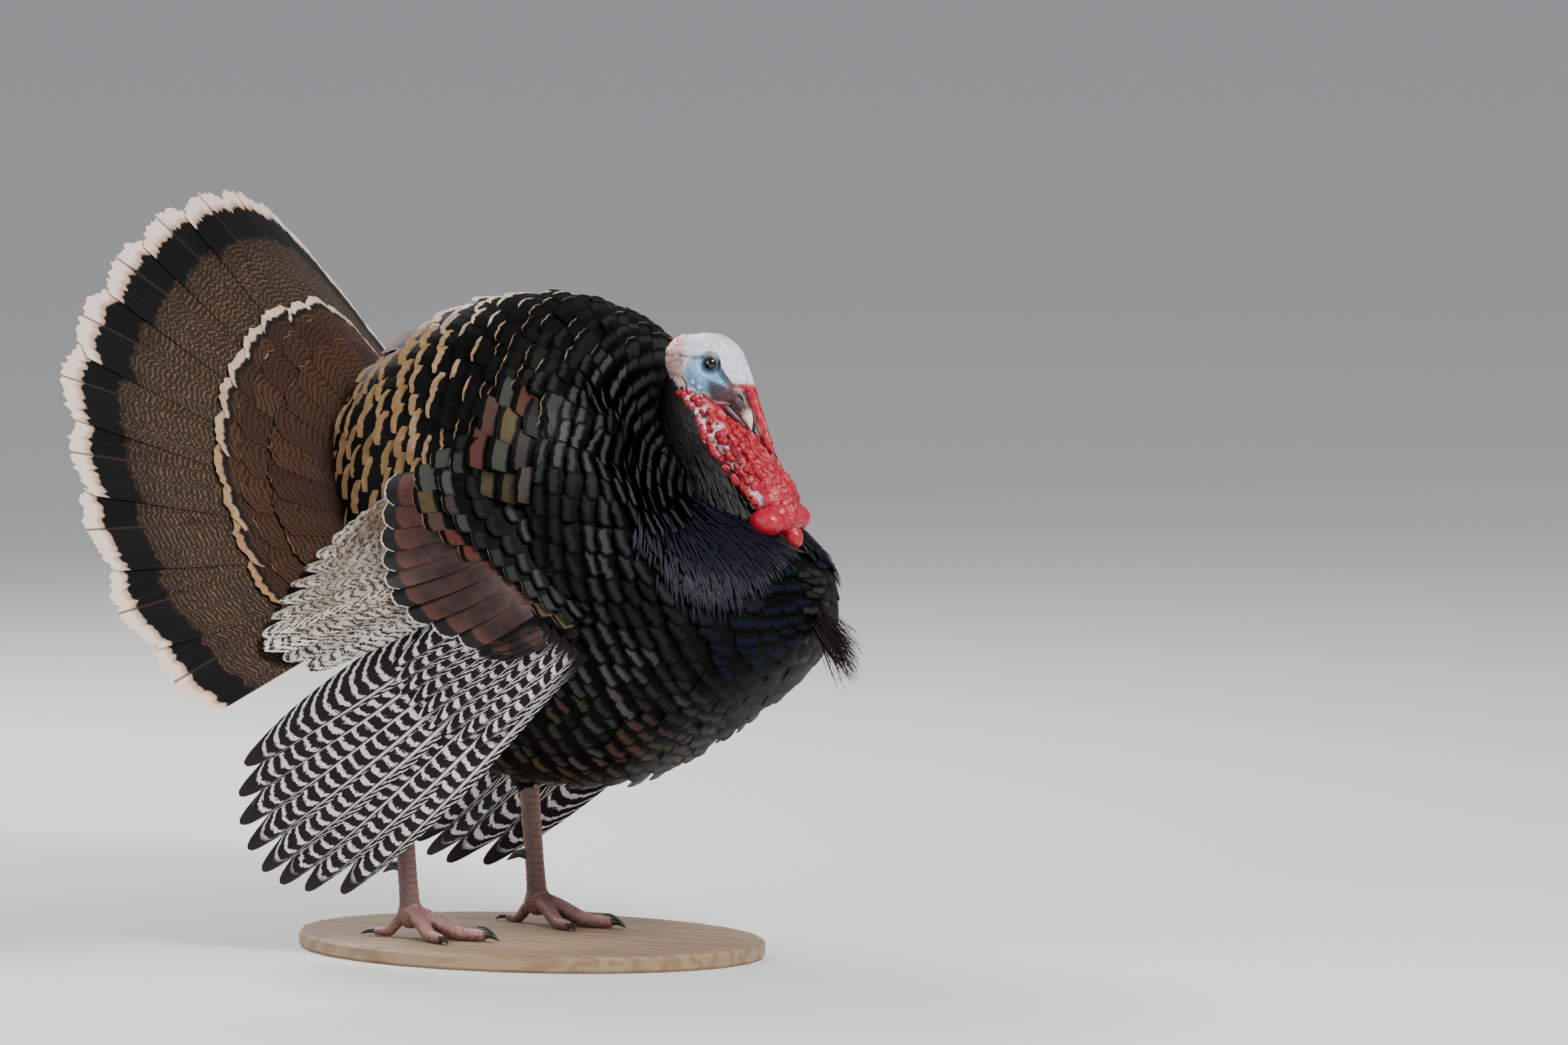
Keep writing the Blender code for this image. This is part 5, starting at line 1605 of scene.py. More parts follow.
def head_marks(p: Array, warts: Array) -> tuple[Array, Array, Array]:
    """Where the head's colours lie.

    Args:
        p: Points of the skin.
        warts: Middle and radius of each wart, (warts, 4).

    Returns:
        Masks from 0 to 1 at each point: (white, blue, red), (dark, pale, beige) and (horn, fold_shade,
            sleek).
        dark is partly the skin's own dark round the eye and lores, partly painted shadow under the brow and
        painted shade in the face's crease; fold_shade is painted shade in hollows between bumps and in
        wrinkles.
    """
    x, z = p[:, 0], p[:, 2]
    x, z = x + lumps(p, 0.007, 5) * 0.002, z + lumps(p, 0.006, 6) * 0.0015
    brow = brow_rise(x, z)
    crown = ease(brow, -0.001, 0.0025) * ease(x + lumps(p, 0.004, 7) * 0.003, 0.124, 0.137)
    face = FACE.mask(x, z) * (1 - ease(brow, 0.0, 0.003))
    rim = FACE.level(x, z)
    pale = ease(np.abs(rim - 1.12), 0.14, 0.03) * (1 - ease(brow, -0.002, 0.002)) * ease(x, 0.178, 0.156)
    # Painted shade: darkens the crease that the relief cuts behind and below the face.
    crease = ease(np.abs(rim - 1.3), 0.08, 0.0) * ease(z, 0.545, 0.532) * ease(x, 0.155, 0.145)
    jaw = z - (0.5205 - (x - 0.15) * 0.55)
    throat = ease(jaw, 0.001, -0.004) * ease(x + (0.52 - z) * 0.8, 0.128, 0.142)
    near = (np.linalg.norm(p[:, None] - warts[None, :, :3], axis=-1) - warts[None, :, 3]).min(axis=1)
    behind = (p - np.array(WATTLE_PATH[1])) @ BEHIND_THROAT
    rear = ease(behind + lumps(p, 0.006, 19) * 0.003, -0.004, 0.003)
    rear = rear * ease(z, 0.53, 0.515) * ease(z, 0.408, 0.43)
    sleek = ease(ball_level(p), 1.35, 1.08)
    rear = rear * ease(near, 0.0002, 0.0012) * (1 - sleek)
    snood = ease(x - (0.1745 + (0.546 - z) * 0.42), -0.0005, 0.002)
    snood = snood * ease(z, 0.45, 0.462) * ease(z, 0.546, 0.538)
    lilac = snood * ease(z + lumps(p, 0.004, 8) * 0.01, 0.526, 0.546)
    red = np.clip(throat + snood * (1 - lilac * 0.8) + ease(near, 0.0014, 0.0004), 0, 1)
    flushed = ease(z + lumps(p, 0.008, 21) * 0.004, 0.564, 0.573) * ease(x, 0.15, 0.164)
    white = np.clip(crown * (1 - 0.65 * flushed) + lilac * 0.5 + rear * 0.9, 0, 1)
    red = red * (1 - rear * 0.95)
    rise, q = about_eye(p)
    # Painted shadow: a dark band in the groove under the brow ridge.
    line = ease(np.abs(brow + 0.0008), 0.0026, 0.0005) * ease(x, 0.132, 0.14) * ease(x, 0.186, 0.178)
    lores = ease(np.abs(brow + 0.004), 0.008, 0.002) * ease(x, 0.161, 0.168) * ease(x, 0.184, 0.178)
    # The lores' dark speckles, with painted shadow under the brow and painted shade in the face's crease; the
    # skin inside the lids is added below.
    dark = np.clip(line * 0.75 + lores * 0.9 + crease * 0.8, 0, 1) * ease(q, 0.0075, 0.009)
    dark = np.maximum(dark, ease(q, 0.0084, 0.0072) * (rise > 0))
    mottled = ease(z, 0.548, 0.53) * ease(x, 0.146, 0.132) * (1 - throat)
    beige = np.clip(EAR.mask(x, z) + mottled * 0.75, 0, 1)
    gape = z - smooth(GAPE[:, 0], GAPE[:, 1], np.clip(x, GAPE[0, 0], GAPE[-1, 0]))
    line_x = x - (0.1835 + (0.546 - z) * 0.3)
    horn = (ease(gape, -0.009, -0.0065) * ease(gape, 0.0125 + 0.005 * ease(x, 0.165, 0.185), 0.0085)
            * ease(x, 0.15, 0.16) * ease(line_x, 0.0012, -0.0008) * (1 - snood))
    # Painted shade in the hollows between the wattle's papillae and the nape's bumps, and in wrinkles round
    # the eye.
    fold_shade = ease(pebbles(p, 0.006, 13), 0.45, 0.05) * ease(z, 0.52, 0.5)
    fold_shade = np.maximum(fold_shade, ease(pebbles(p, 0.005, 17), 0.4, 0.05) * ease(z, 0.505, 0.52) * 0.8)
    wrinkle_shade = ease(np.sin(q * 1500 + lumps(p, 0.01, 23) * 3.0), 0.55, 0.98) * face * ease(q, 0.009, 0.011)
    fold_shade = np.maximum(fold_shade, wrinkle_shade * ease(z, 0.548, 0.54))
    return (np.stack([white, face, red * (1 - horn)], axis=-1), np.stack([dark, pale, beige], axis=-1),
            np.stack([horn, fold_shade * (1 - sleek), sleek], axis=-1))


def head_relief(p: Array) -> Array:
    """How far each point of the bare skin stands out: brow, folds of the throat, papillae and grains."""
    x, y, z = p.T
    brow = brow_rise(x, z)
    on_head = ease(x + (0.53 - z) * 0.7, 0.195, 0.18) * ease(z, 0.515, 0.525)
    ridge = ease(np.abs(brow - 0.0035), 0.006, 0.0) * 0.0009
    ridge = ridge - ease(np.abs(brow + 0.0005), 0.002, 0.0) * 0.0007
    crease = -ease(np.abs(FACE.level(x, z) - 1.27), 0.1, 0.0) * ease(z, 0.55, 0.535) * 0.0009
    puffed = ease(FACE.level(x, z), 1.2, 0.4) * 0.001
    fine = pebbles(p, 0.003, 11) * 0.00035 + lumps(p, 0.006, 12) * 0.0004
    wattle = ease(z, 0.515, 0.49)
    across = np.arctan2(y, (p - np.array(WATTLE_PATH[0])) @ BEHIND_THROAT + 0.01)
    smoother = ease(ball_level(p), 1.1, 1.45)
    folds = np.sin(across * 13 + lumps(p, 0.012, 14) * 2.2) * 0.0013 * ease(z, 0.43, 0.47) * smoother
    papillae = pebbles(p, 0.006, 13) * 0.0012 * ease(z, 0.5, 0.46) * smoother
    papillae = papillae + pebbles(p, 0.0026, 15) * 0.0002 * smoother
    rough = np.maximum(ease(x, 0.135, 0.12), ease(brow, 0.002, 0.01))
    nape = (pebbles(p, 0.005, 17) * 0.0007 + pebbles(p, 0.003, 16) * 0.0005) * rough * on_head
    return (ridge + crease + puffed) * on_head + fine + (folds + papillae) * wattle + nape


def bare_finish() -> bpy.types.Material:
    """Bare skin of head and neck: white crown, blue face, red throat, beige and pink between them, with
    painted shade in its folds, wrinkles and crease and a painted shadow under the brow.
    """
    g = Graph("bare_skin", roughness=0.42, specular=0.45)
    white, blue, red = g.parts("zone")
    dark, pale, beige = g.parts("mark")
    horn, fold_shade, sleek = g.parts("detail")
    place = g.place()
    blotch = g.noise(place, 210.0, 3.0, 0.6)
    fine = g.noise(place, 900.0, 3.0, 0.65)
    grain = g.cells(place, 720.0)
    pits = g.fall(grain, 0.16, 0.34)
    specks = g.mul(g.fall(g.cells(place, 380.0), 0.14, 0.24), g.reach(blotch, 0.42, 0.55))
    dots = g.fall(g.cells(place, 300.0), 0.2, 0.32)
    pink = g.mix(g.reach(blotch, 0.35, 0.65), (0.68, 0.46, 0.43), (0.56, 0.29, 0.28))
    pink = g.mix(g.mul(dots, 0.75), pink, (0.52, 0.06, 0.075))
    ear = g.mix(g.reach(blotch, 0.35, 0.65), (0.17, 0.125, 0.105), (0.46, 0.36, 0.32))
    ear = g.mix(g.mul(dots, 0.5), ear, (0.36, 0.07, 0.065))
    base = g.mix(beige, pink, ear)
    flush = g.mix(g.reach(blotch, 0.34, 0.66), (0.27, 0.003, 0.01), (0.46, 0.017, 0.037))
    flush = g.mix(sleek, flush, g.mix(blotch, (0.32, 0.004, 0.018), (0.44, 0.014, 0.034)))
    rest = g.sub(1.0, sleek)
    stipple = g.mul(g.mul(g.fall(grain, 0.1, 0.36), g.reach(fine, 0.5, 0.66)), rest)
    flush = g.mix(g.mul(stipple, 0.7), flush, (0.74, 0.26, 0.29))
    base = g.mix(red, base, flush)
    chalk = g.mix(g.reach(blotch, 0.4, 0.66), (0.64, 0.71, 0.8), (0.68, 0.54, 0.58))
    chalk = g.mix(g.mul(dots, 0.35), chalk, (0.52, 0.22, 0.26))
    base = g.mix(white, base, chalk)
    sky = g.mix(g.reach(fine, 0.35, 0.65), (0.17, 0.4, 0.66), (0.34, 0.57, 0.78))
    sky = g.mix(g.mul(pits, 0.85), sky, (0.028, 0.1, 0.23))
    base = g.mix(blue, base, sky)
    base = g.mix(g.mul(pale, 0.8), base, (0.62, 0.7, 0.78))
    base = g.mix(g.mul(specks, g.math("MINIMUM", g.add(g.mul(white, 0.35), g.mul(dark, 1.5)), 1.0)), base,
                 (0.015, 0.025, 0.055))
    base = g.mix(g.mul(horn, g.reach(fine, 0.2, 0.6, 0.75, 1.0)), base,
                 g.mix(blotch, (0.03, 0.017, 0.022), (0.1, 0.062, 0.074)))
    # Painted shade: darker blue, deep red or dusky pink in the hollows and wrinkles.
    hollow_shade_colour = g.mix(blue, g.mix(red, (0.2, 0.1, 0.115), (0.11, 0.002, 0.006)), (0.04, 0.105, 0.2))
    base = g.mix(g.mul(fold_shade, g.add(0.3, g.mul(red, 0.35))), base, hollow_shade_colour)
    # Dark lid rims and lores, with painted shadow under the brow and painted shade in the face's crease.
    g.colour(g.mix(g.mul(dark, 0.88), base, (0.007, 0.013, 0.024)))
    g.roughness(g.mix(red, (0.46, 0.46, 0.46), (0.3, 0.3, 0.3)))
    g.bump(g.mul(g.add(g.mul(grain, -0.8), g.mul(fine, 0.6)), g.add(0.15, g.mul(rest, 0.85))), 0.45, 0.0007)
    g.shader.inputs["Subsurface Weight"].default_value = 0.12
    g.shader.inputs["Subsurface Radius"].default_value = (0.004, 0.0016, 0.001)
    return g.material


def down_finish() -> bpy.types.Material:
    """The skin under the coat, marked like the feathers over it."""
    g = Graph("feathered_skin", roughness=0.85, specular=0.15)
    x, _, z = g.along()
    rump = g.mul(g.reach(x, SHIFT[0], SHIFT[0] - 0.13), g.reach(z, 0.4, 0.47))
    g.colour(g.mix(g.mul(rump, 0.6), (0.008, 0.0062, 0.0058), (0.07, 0.048, 0.033)))
    return g.material


def leg_finish() -> bpy.types.Material:
    """Scaled legs: pinkish red with paler scutes and grey-brown seams."""
    g = Graph("leg_scutes", roughness=0.48, specular=0.4)
    plate, seam, front = g.parts("zone")
    place = g.place()
    blotch = g.noise(place, 140.0, 3.0, 0.6)
    flesh = g.mix(g.reach(blotch, 0.35, 0.65), (0.27, 0.105, 0.095), (0.37, 0.19, 0.165))
    flesh = g.mix(g.mul(plate, 0.35), flesh, (0.46, 0.29, 0.26))
    flesh = g.mix(g.mul(front, 0.72), flesh, (0.15, 0.102, 0.092))
    net = g.mul(g.reach(g.cells(place, 430.0), 0.3, 0.62), g.sub(1.0, plate))
    flesh = g.mix(g.mul(net, 0.55), flesh, (0.07, 0.044, 0.04))
    g.colour(g.mix(g.mul(seam, 0.45), flesh, (0.13, 0.07, 0.062)))
    g.bump(g.noise(place, 700.0, 2.0), 0.3, 0.0005)
    return g.material


FEET = {"right": np.array([-0.134, -0.075, 0.0]), "left": np.array([-0.08, 0.075, 0.0])}
SHANK_HEIGHTS = (0.02, 0.06, 0.125, 0.168)
SHANK_RADII = ((0.0085, 0.0105), (0.0072, 0.0092), (0.008, 0.01), (0.01, 0.0125))
SHANK_LEAN = -0.012
THIGH_PATH = ((0.02, 0.1, 0.29), (0.012, 0.094, 0.24), (0.0, 0.084, 0.19), (-0.01, 0.076, 0.15),
              (-0.012, 0.075, 0.132))
THIGH_RADII = ((0.05, 0.04), (0.052, 0.042), (0.04, 0.034), (0.024, 0.021), (0.014, 0.013))


@dataclass(frozen=True)
class Toe:
    """One toe: the way it points in degrees from ahead, outwards positive, its reach and its radius."""

    name: str
    turn: float
    reach: float
    radius: float

    def way(self, outward: float) -> Array:
        """Its direction over the ground."""
        turn = radians(self.turn) * outward
        return np.array([cos(turn), sin(turn), 0.0])

    def path(self, foot: Array, outward: float) -> Array:
        """Its middle line from the ankle's height over the foot to the claw's root."""
        shares = np.array([0.0, 0.32, 0.66, 1.0])
        heights = np.array([0.025, 0.0165, 0.95 * self.radius, 0.8 * self.radius])
        return foot + self.way(outward) * (shares * self.reach)[:, None] + heights[:, None] * (0, 0, 1)

    def radii(self) -> Array:
        """Sideways and upward radii at the path's points."""
        return np.array([1.1, 1.15, 1.0, 0.75])[:, None] * self.radius * np.ones((1, 2))


TOES = (Toe("middle", 0, 0.078, 0.0068), Toe("inner", -34, 0.062, 0.006), Toe("outer", 34, 0.062, 0.006),
        Toe("hind", 172, 0.034, 0.0048))


def thigh_path(side: str) -> list[tuple[float, float, float]]:
    """The middle line of a thigh, from the hip down."""
    return [(FEET[side][0] + dx, y * SIDES[side], z) for dx, y, z in THIGH_PATH]


def shank_path(side: str) -> Array:
    """The middle line of a shank, from the foot up."""
    heights = np.array(SHANK_HEIGHTS)
    share = (heights - heights[0]) / (heights[-1] - heights[0])
    return FEET[side] + np.stack([share * SHANK_LEAN, share * 0, heights], axis=-1)


def along_lines(p: Array, lines: Sequence[Array]) -> tuple[Array, Array]:
    """For each point, the index of the nearest of several lines and the distance along it."""
    best, which, along = np.full(len(p), 9.0), np.zeros(len(p), int), np.zeros(len(p))
    for index, line in enumerate(lines):
        fine = through(line, np.linspace(0, len(line) - 1, 60))
        run = run_along(fine)
        gap = np.linalg.norm(p[:, None] - fine[None], axis=-1)
        near = gap.argmin(axis=1)
        past = ((p - fine[near]) * unit(np.gradient(fine, axis=0))[near]).sum(axis=-1)
        closer = gap[np.arange(len(p)), near] < best
        best = np.where(closer, gap[np.arange(len(p)), near], best)
        which, along = np.where(closer, index, which), np.where(closer, run[near] + past, along)
    return which, along


def leg_skin(side: str) -> tuple[Array, Array, Array]:
    """A shank with its foot: points, quads and the masks of its scutes."""
    outward, foot = SIDES[side], FEET[side]
    shells = [tube(shank_path(side), SHANK_RADII, rows=30)]
    shells.append(ball(foot + (0, 0, 0.022), (0.013, 0.0115, 0.014)))
    for toe in TOES:
        shells.append(tube(toe.path(foot, outward), toe.radii(), front=(0, 0, 1), rows=24))
    points, faces, normals = melted(shells, 0.0011, 4)
    lines = [shank_path(side)] + [toe.path(foot, outward) for toe in TOES]
    which, along = along_lines(points, lines)
    shank = which == 0
    period = np.where(shank, 0.0064, 0.0042)
    ahead = np.where(shank, normals[:, 0], normals[:, 2])
    step = (along + np.where(shank & (normals[:, 1] > 0), 0.0032, 0.0)) / period
    phase = step - np.floor(step)
    plate = ease(ahead, -0.1, 0.4)
    seam = np.maximum(ease(phase, 0.13, 0.0), ease(phase, 0.89, 1.0)) * plate
    grains = pebbles(points, 0.0036, 21) * (1 - plate)
    points = points + normals * (plate * (0.0003 - seam * 0.0008) + grains * 0.0005)[:, None]
    points[:, 2] = np.maximum(points[:, 2], CLEAR)
    seam = np.maximum(seam, (1 - plate) * ease(grains, 0.5, 0.2))
    side_on = np.abs(normals[:, 1]) * shank
    return points, faces, np.stack([plate * (1 - seam), seam, side_on], axis=-1)


class Skin(IntEnum):
    """The skin's finishes, in the order of its materials."""

    BARE = 0
    DOWN = 1
    LEG = 2


@dataclass
class Hide:
    """Shells that make up the skin, each with its masks and finish.

    Attributes:
        shells: The shells.
        masks: For each shell its zone, mark and detail, (3, points, 3).
        finishes: For each shell the finish of each face.
    """

    shells: list[Shell] = field(default_factory=list)
    masks: list[Array] = field(default_factory=list)
    finishes: list[Array] = field(default_factory=list)

    def add(self, shell: Shell, finish: Skin, zone: Array | float = 0.0,
            mark: Array | Sequence[float] | float = 0.0, detail: Array | float = 0.0) -> None:
        """Adds a shell with its finish and masks."""
        points, faces = shell
        self.shells.append(shell)
        self.masks.append(np.stack([np.broadcast_to(v, points.shape) for v in (zone, mark, detail)]))
        self.finishes.append(np.full(len(faces), finish.value, np.int32))


def add_head(hide: Hide, rng: np.random.Generator) -> None:
    """Head, snood, bare neck and throat with their warts, and the rims of the eyelids."""
    parts = [head_shell(), tube(SNOOD_PATH, [(r, r) for r in SNOOD_RADII], rows=30),
             tube(WATTLE_PATH, WATTLE_RADII, rows=40)]
    parts += [ball(middle, half) for middle, half in BALLS]
    parts.append(tube(((0.122, 0, 0.543), (0.13, 0, 0.52), (0.148, 0, 0.487), (0.172, 0, 0.455)),
                      ((0.0165, 0.017), (0.022, 0.021), (0.026, 0.024), (0.023, 0.02)), rows=30))
    warts, bulges = wart_balls(rng)
    spots = np.array([np.append(points.mean(axis=0), np.ptp(points[:, 0]) / 2) for points, _ in warts])
    points, faces, normals = melted(parts + warts + bulges, 0.0008, 3)
    zone, mark, detail = head_marks(points, spots)
    points = socket(points + normals * (head_relief(points) - 0.0004)[:, None])
    hide.add((points, faces), Skin.BARE, zone, mark, detail)
    for side in SIDES:
        hide.add(lid_ring(side), Skin.BARE, mark=(1.0, 0.0, 0.0))


def add_trunk(hide: Hide, body: PolarForm) -> None:
    """The skin under the coat: trunk, feathered neck and thighs, each inside its feathers by their depth."""
    grid = np.meshgrid(np.linspace(0.02, pi - 0.02, 91), np.linspace(-pi, pi, 121)[:-1], indexing="ij")
    surface, out = body.at(*grid)
    depth = 0.012 + 0.014 * ease(surface[..., 2], 0.44, 0.54) * ease(surface[..., 0], 0.12, 0.0)
    trunk = surface - out * depth[..., None]
    trunk[[0, -1]] = trunk[[0, -1]].mean(axis=1, keepdims=True)
    hide.add(ring_shell(trunk), Skin.DOWN)
    neck = [(wide - 0.007, deep - 0.008) for _, _, deep, wide in NECK]
    hide.add(tube([(x, 0, z) for x, z, _, _ in NECK], neck), Skin.DOWN)
    thigh = [(wide - 0.004, deep - 0.004) for deep, wide in THIGH_RADII]
    for side in SIDES:
        hide.add(tube(thigh_path(side), thigh), Skin.DOWN)


def build_skin(body: PolarForm, rng: np.random.Generator) -> None:
    """The one skin under and between the coat: head, neck, trunk, thighs, shanks and feet."""
    hide = Hide()
    add_head(hide, rng)
    add_trunk(hide, body)
    for side in SIDES:
        points, faces, scutes = leg_skin(side)
        hide.add((points, faces), Skin.LEG, scutes)
    finishes = {Skin.BARE: bare_finish(), Skin.DOWN: down_finish(), Skin.LEG: leg_finish()}
    obj = add_mesh("skin", *together(hide.shells), finishes[Skin.BARE])
    for finish in (Skin.DOWN, Skin.LEG):
        obj.data.materials.append(finishes[finish])
    obj.data.polygons.foreach_set("material_index", np.concatenate(hide.finishes))
    for name, values in zip(("zone", "mark", "detail"), np.concatenate(hide.masks, axis=1)):
        set_attribute(obj, name, values)
    place_piece(obj, "head_skin", "head", "neck", "rump", "trunk", "breast", "thigh_left", "thigh_right",
                "snood", "wattle", "caruncle_right", "caruncle_left", "caruncle_middle", "shank_left",
                "shank_right", "foot_left", "foot_right")


def lid_ring(side: str) -> Shell:
    """The dark rim of the eyelids, a thin ring round the eye."""
    up = unit(np.array([0.0, 0, 1.0]) - EYE_WAY[2] * EYE_WAY)
    ahead = np.cross(up, EYE_WAY)
    turn = np.arange(49) * 2 * pi / 48
    ring, thick = 0.0067, 0.0007
    middle = EYE + EYE_WAY * 0.0043
    line = middle + (ahead * np.cos(turn)[:, None] + up * np.sin(turn)[:, None] * 0.92) * ring
    across = turns(10)
    out = unit(line - middle)
    points = (line[:, None] + out[:, None] * np.cos(across)[None, :, None] * thick
              + EYE_WAY * np.sin(across)[None, :, None] * thick)
    return ring_shell(points * (1.0, SIDES[side], 1.0))


# ---------------------------------------------------------------- bill, eyes, claws
def build_eyes() -> None:
    """Glossy dark brown eyes with a black pupil."""
    g = Graph("eye_wet", roughness=0.08, specular=0.5)
    from_axis, _, _ = g.parts("zone")
    iris = g.mix(g.noise(g.place(), 900.0, 3.0), (0.003, 0.002, 0.0018), (0.009, 0.005, 0.0036))
    g.colour(g.mix(g.reach(from_axis, 0.0038, 0.0042), (0.001, 0.0009, 0.0009), iris))
    g.shader.inputs["Coat Weight"].default_value = 0.4
    g.shader.inputs["Coat Roughness"].default_value = 0.02
    for side, outward in SIDES.items():
        points, faces = ball(EYE * (1.0, outward, 1.0), (EYE_RADIUS,) * 3, 40, 56)
        obj = add_mesh(f"eyeball_{side}", points, faces, g.material)
        _, q = about_eye(points)
        set_attribute(obj, "zone", np.stack([q, q * 0, q * 0], axis=-1))
        place_piece(obj, "eye_gloss", f"eye_{side}")


UPPER_BILL = ((0.16, 0, 0.53), (0.172, 0, 0.523), (0.182, 0, 0.5105), (0.188, 0, 0.499), (0.1912, 0, 0.488))
UPPER_RADII = ((0.0078, 0.0105), (0.0075, 0.0092), (0.0058, 0.007), (0.0036, 0.0048), (0.0008, 0.0008))
LOWER_BILL = ((0.154, 0, 0.517), (0.165, 0, 0.509), (0.176, 0, 0.499), (0.1835, 0, 0.4915))
LOWER_RADII = ((0.0066, 0.0042), (0.006, 0.004), (0.0042, 0.003), (0.001, 0.001))
NOSTRIL = Zone((0.1815, 0.5185), (0.005, 0.0016), 52, 0.35)


def build_bill() -> None:
    """Upper and lower bill: purplish brown at the base, ivory at the tip, with a nostril whose opening is
    painted near black as painted shade.
    """
    g = Graph("bill_horn_worn", roughness=0.32, specular=0.5)
    x, y, z = g.along()
    tip, hole, _ = g.parts("zone")
    streak = g.noise(g.vector(x, g.mul(y, 3.0), g.mul(z, 0.6)), 500.0, 3.0, 0.6)
    base = g.mix(g.reach(streak, 0.3, 0.7), (0.045, 0.027, 0.032), (0.12, 0.078, 0.084))
    ivory = g.mix(g.reach(streak, 0.3, 0.7), (0.74, 0.6, 0.44), (0.8, 0.7, 0.56))
    horn = g.mix(g.reach(g.add(tip, g.wobble(streak, 0.12)), 0.56, 0.76), base, ivory)
    # Painted shade: the nostril's opening is painted near black.
    g.colour(g.mix(hole, horn, (0.012, 0.008, 0.009)))
    g.bump(streak, 0.25, 0.0005)
    for node, path, radii, tip_share in (("bill_upper", UPPER_BILL, UPPER_RADII, 1.0),
                                         ("bill_lower", LOWER_BILL, LOWER_RADII, 0.62)):
        points, faces = tube(path, radii, front=(1.0, 0, 0.6), rows=60, columns=40)
        line = through(path, np.linspace(0, len(path) - 1, 50))
        near = np.linalg.norm(points[:, None] - line[None], axis=-1).argmin(axis=1)
        share = near / (len(line) - 1)
        opening = NOSTRIL.mask(points[:, 0], points[:, 2]) * (np.abs(points[:, 1]) > 0.003)
        opening = opening * (node == "bill_upper")
        points = points - unit(points - line[near]) * (opening * 0.0009)[:, None]
        obj = add_mesh(f"{node}_horn", points, faces, g.material)
        set_attribute(obj, "zone", np.stack([share * tip_share, opening, share], axis=-1))
        place_piece(obj, "bill_horn", node)


def build_claws() -> None:
    """Claws and spurs: dark horn, paler at the root."""
    g = Graph("claw_horn_dark", roughness=0.35, specular=0.45)
    share, _, _ = g.parts("zone")
    streak = g.noise(g.place(), 450.0, 3.0)
    g.colour(g.mix(g.reach(share, 0.0, 0.45), (0.09, 0.06, 0.05),
                   g.mix(streak, (0.012, 0.0095, 0.009), (0.035, 0.026, 0.023))))
    for side, outward in SIDES.items():
        foot, horns = FEET[side], []
        for toe in TOES:
            start = toe.reach + toe.radius / 2
            reach = np.array([0.0, 0.5, 1.0]) * 0.017 + start - 0.003
            heights = np.array([0.95, 0.9, 0.28]) * toe.radius
            path = foot + toe.way(outward) * reach[:, None] + heights[:, None] * (0, 0, 1)
            radii = np.array([0.62, 0.45, 0.1])[:, None] * toe.radius * np.ones((1, 2))
            horns.append((f"claw_{side}_{toe.name}", path, radii))
        steps = ((0.0, 0.0, -0.003), (-0.005, 0.001, -0.002), (-0.018, 0.002, 0.001), (-0.031, 0.003, -0.006))
        path = np.array([(foot[0] + dx, foot[1] - outward * dy, 0.066 + dz) for dx, dy, dz in steps])
        radii = np.array([0.0056, 0.0054, 0.0046, 0.0008])[:, None] * np.ones((1, 2))
        horns.append((f"spur_{side}", path, radii))
        for node, path, radii in horns:
            points, faces = tube(path, radii, front=(0, 0, 1), rows=24, columns=20)
            points[:, 2] = np.maximum(points[:, 2], CLEAR)
            run = (points - path[0]) @ unit(path[-1] - path[0]) / np.linalg.norm(path[-1] - path[0])
            obj = add_mesh(f"{node}_horn", points, faces, g.material)
            set_attribute(obj, "zone", np.stack([run, run, run], axis=-1))
            place_piece(obj, "claw_horn", node)


# ---------------------------------------------------------------- hairlike feathers
def strands(root: Array, lie: Array, out: Array, length: Array, width: Array,
            rng: np.random.Generator) -> Feathers:
    """Narrow pointed bristles from roots in space.

    Each runs along its lie, bends down by droop * length * share^2 and wanders sideways by
    curl * length * share * sin(waves * share + phase).

    Args:
        root: Where each begins.
        lie: Unit direction of each.
        out: Unit direction that each one's face looks.
        length, width: Sizes of each.
        rng: Random source.

    Returns:
        The bristles.
    """
    count, droop, curl = len(root), 0.24, 0.085
    vane = Vane(rows=14, columns=3, base=0.7, rounding=0.0, taper=0.8, camber=0.0)
    share, side, along, across = vane_plan(vane, length, width, rng)
    side_way = unit(np.cross(out, lie))
    waves, phase = rng.uniform(2, 5, count), rng.uniform(0, 6, (2, count))[0]
    wander = np.sin(share * waves[:, None, None] + phase[:, None, None]) * curl * share
    points = (root[:, None, None] + lie[:, None, None] * along[..., None]
              + side_way[:, None, None] * (across + wander * length[:, None, None])[..., None]
              + np.array([0, 0, -1.0]) * (droop * share**2 * length[:, None, None])[..., None])
    points = points - out[:, None, None] * (0.12 * width[:, None, None] * side**2)[..., None]
    bake, patch = atlas(count)
    return finished(points, share, side, along, plain_traits(count, rng), bake, patch)


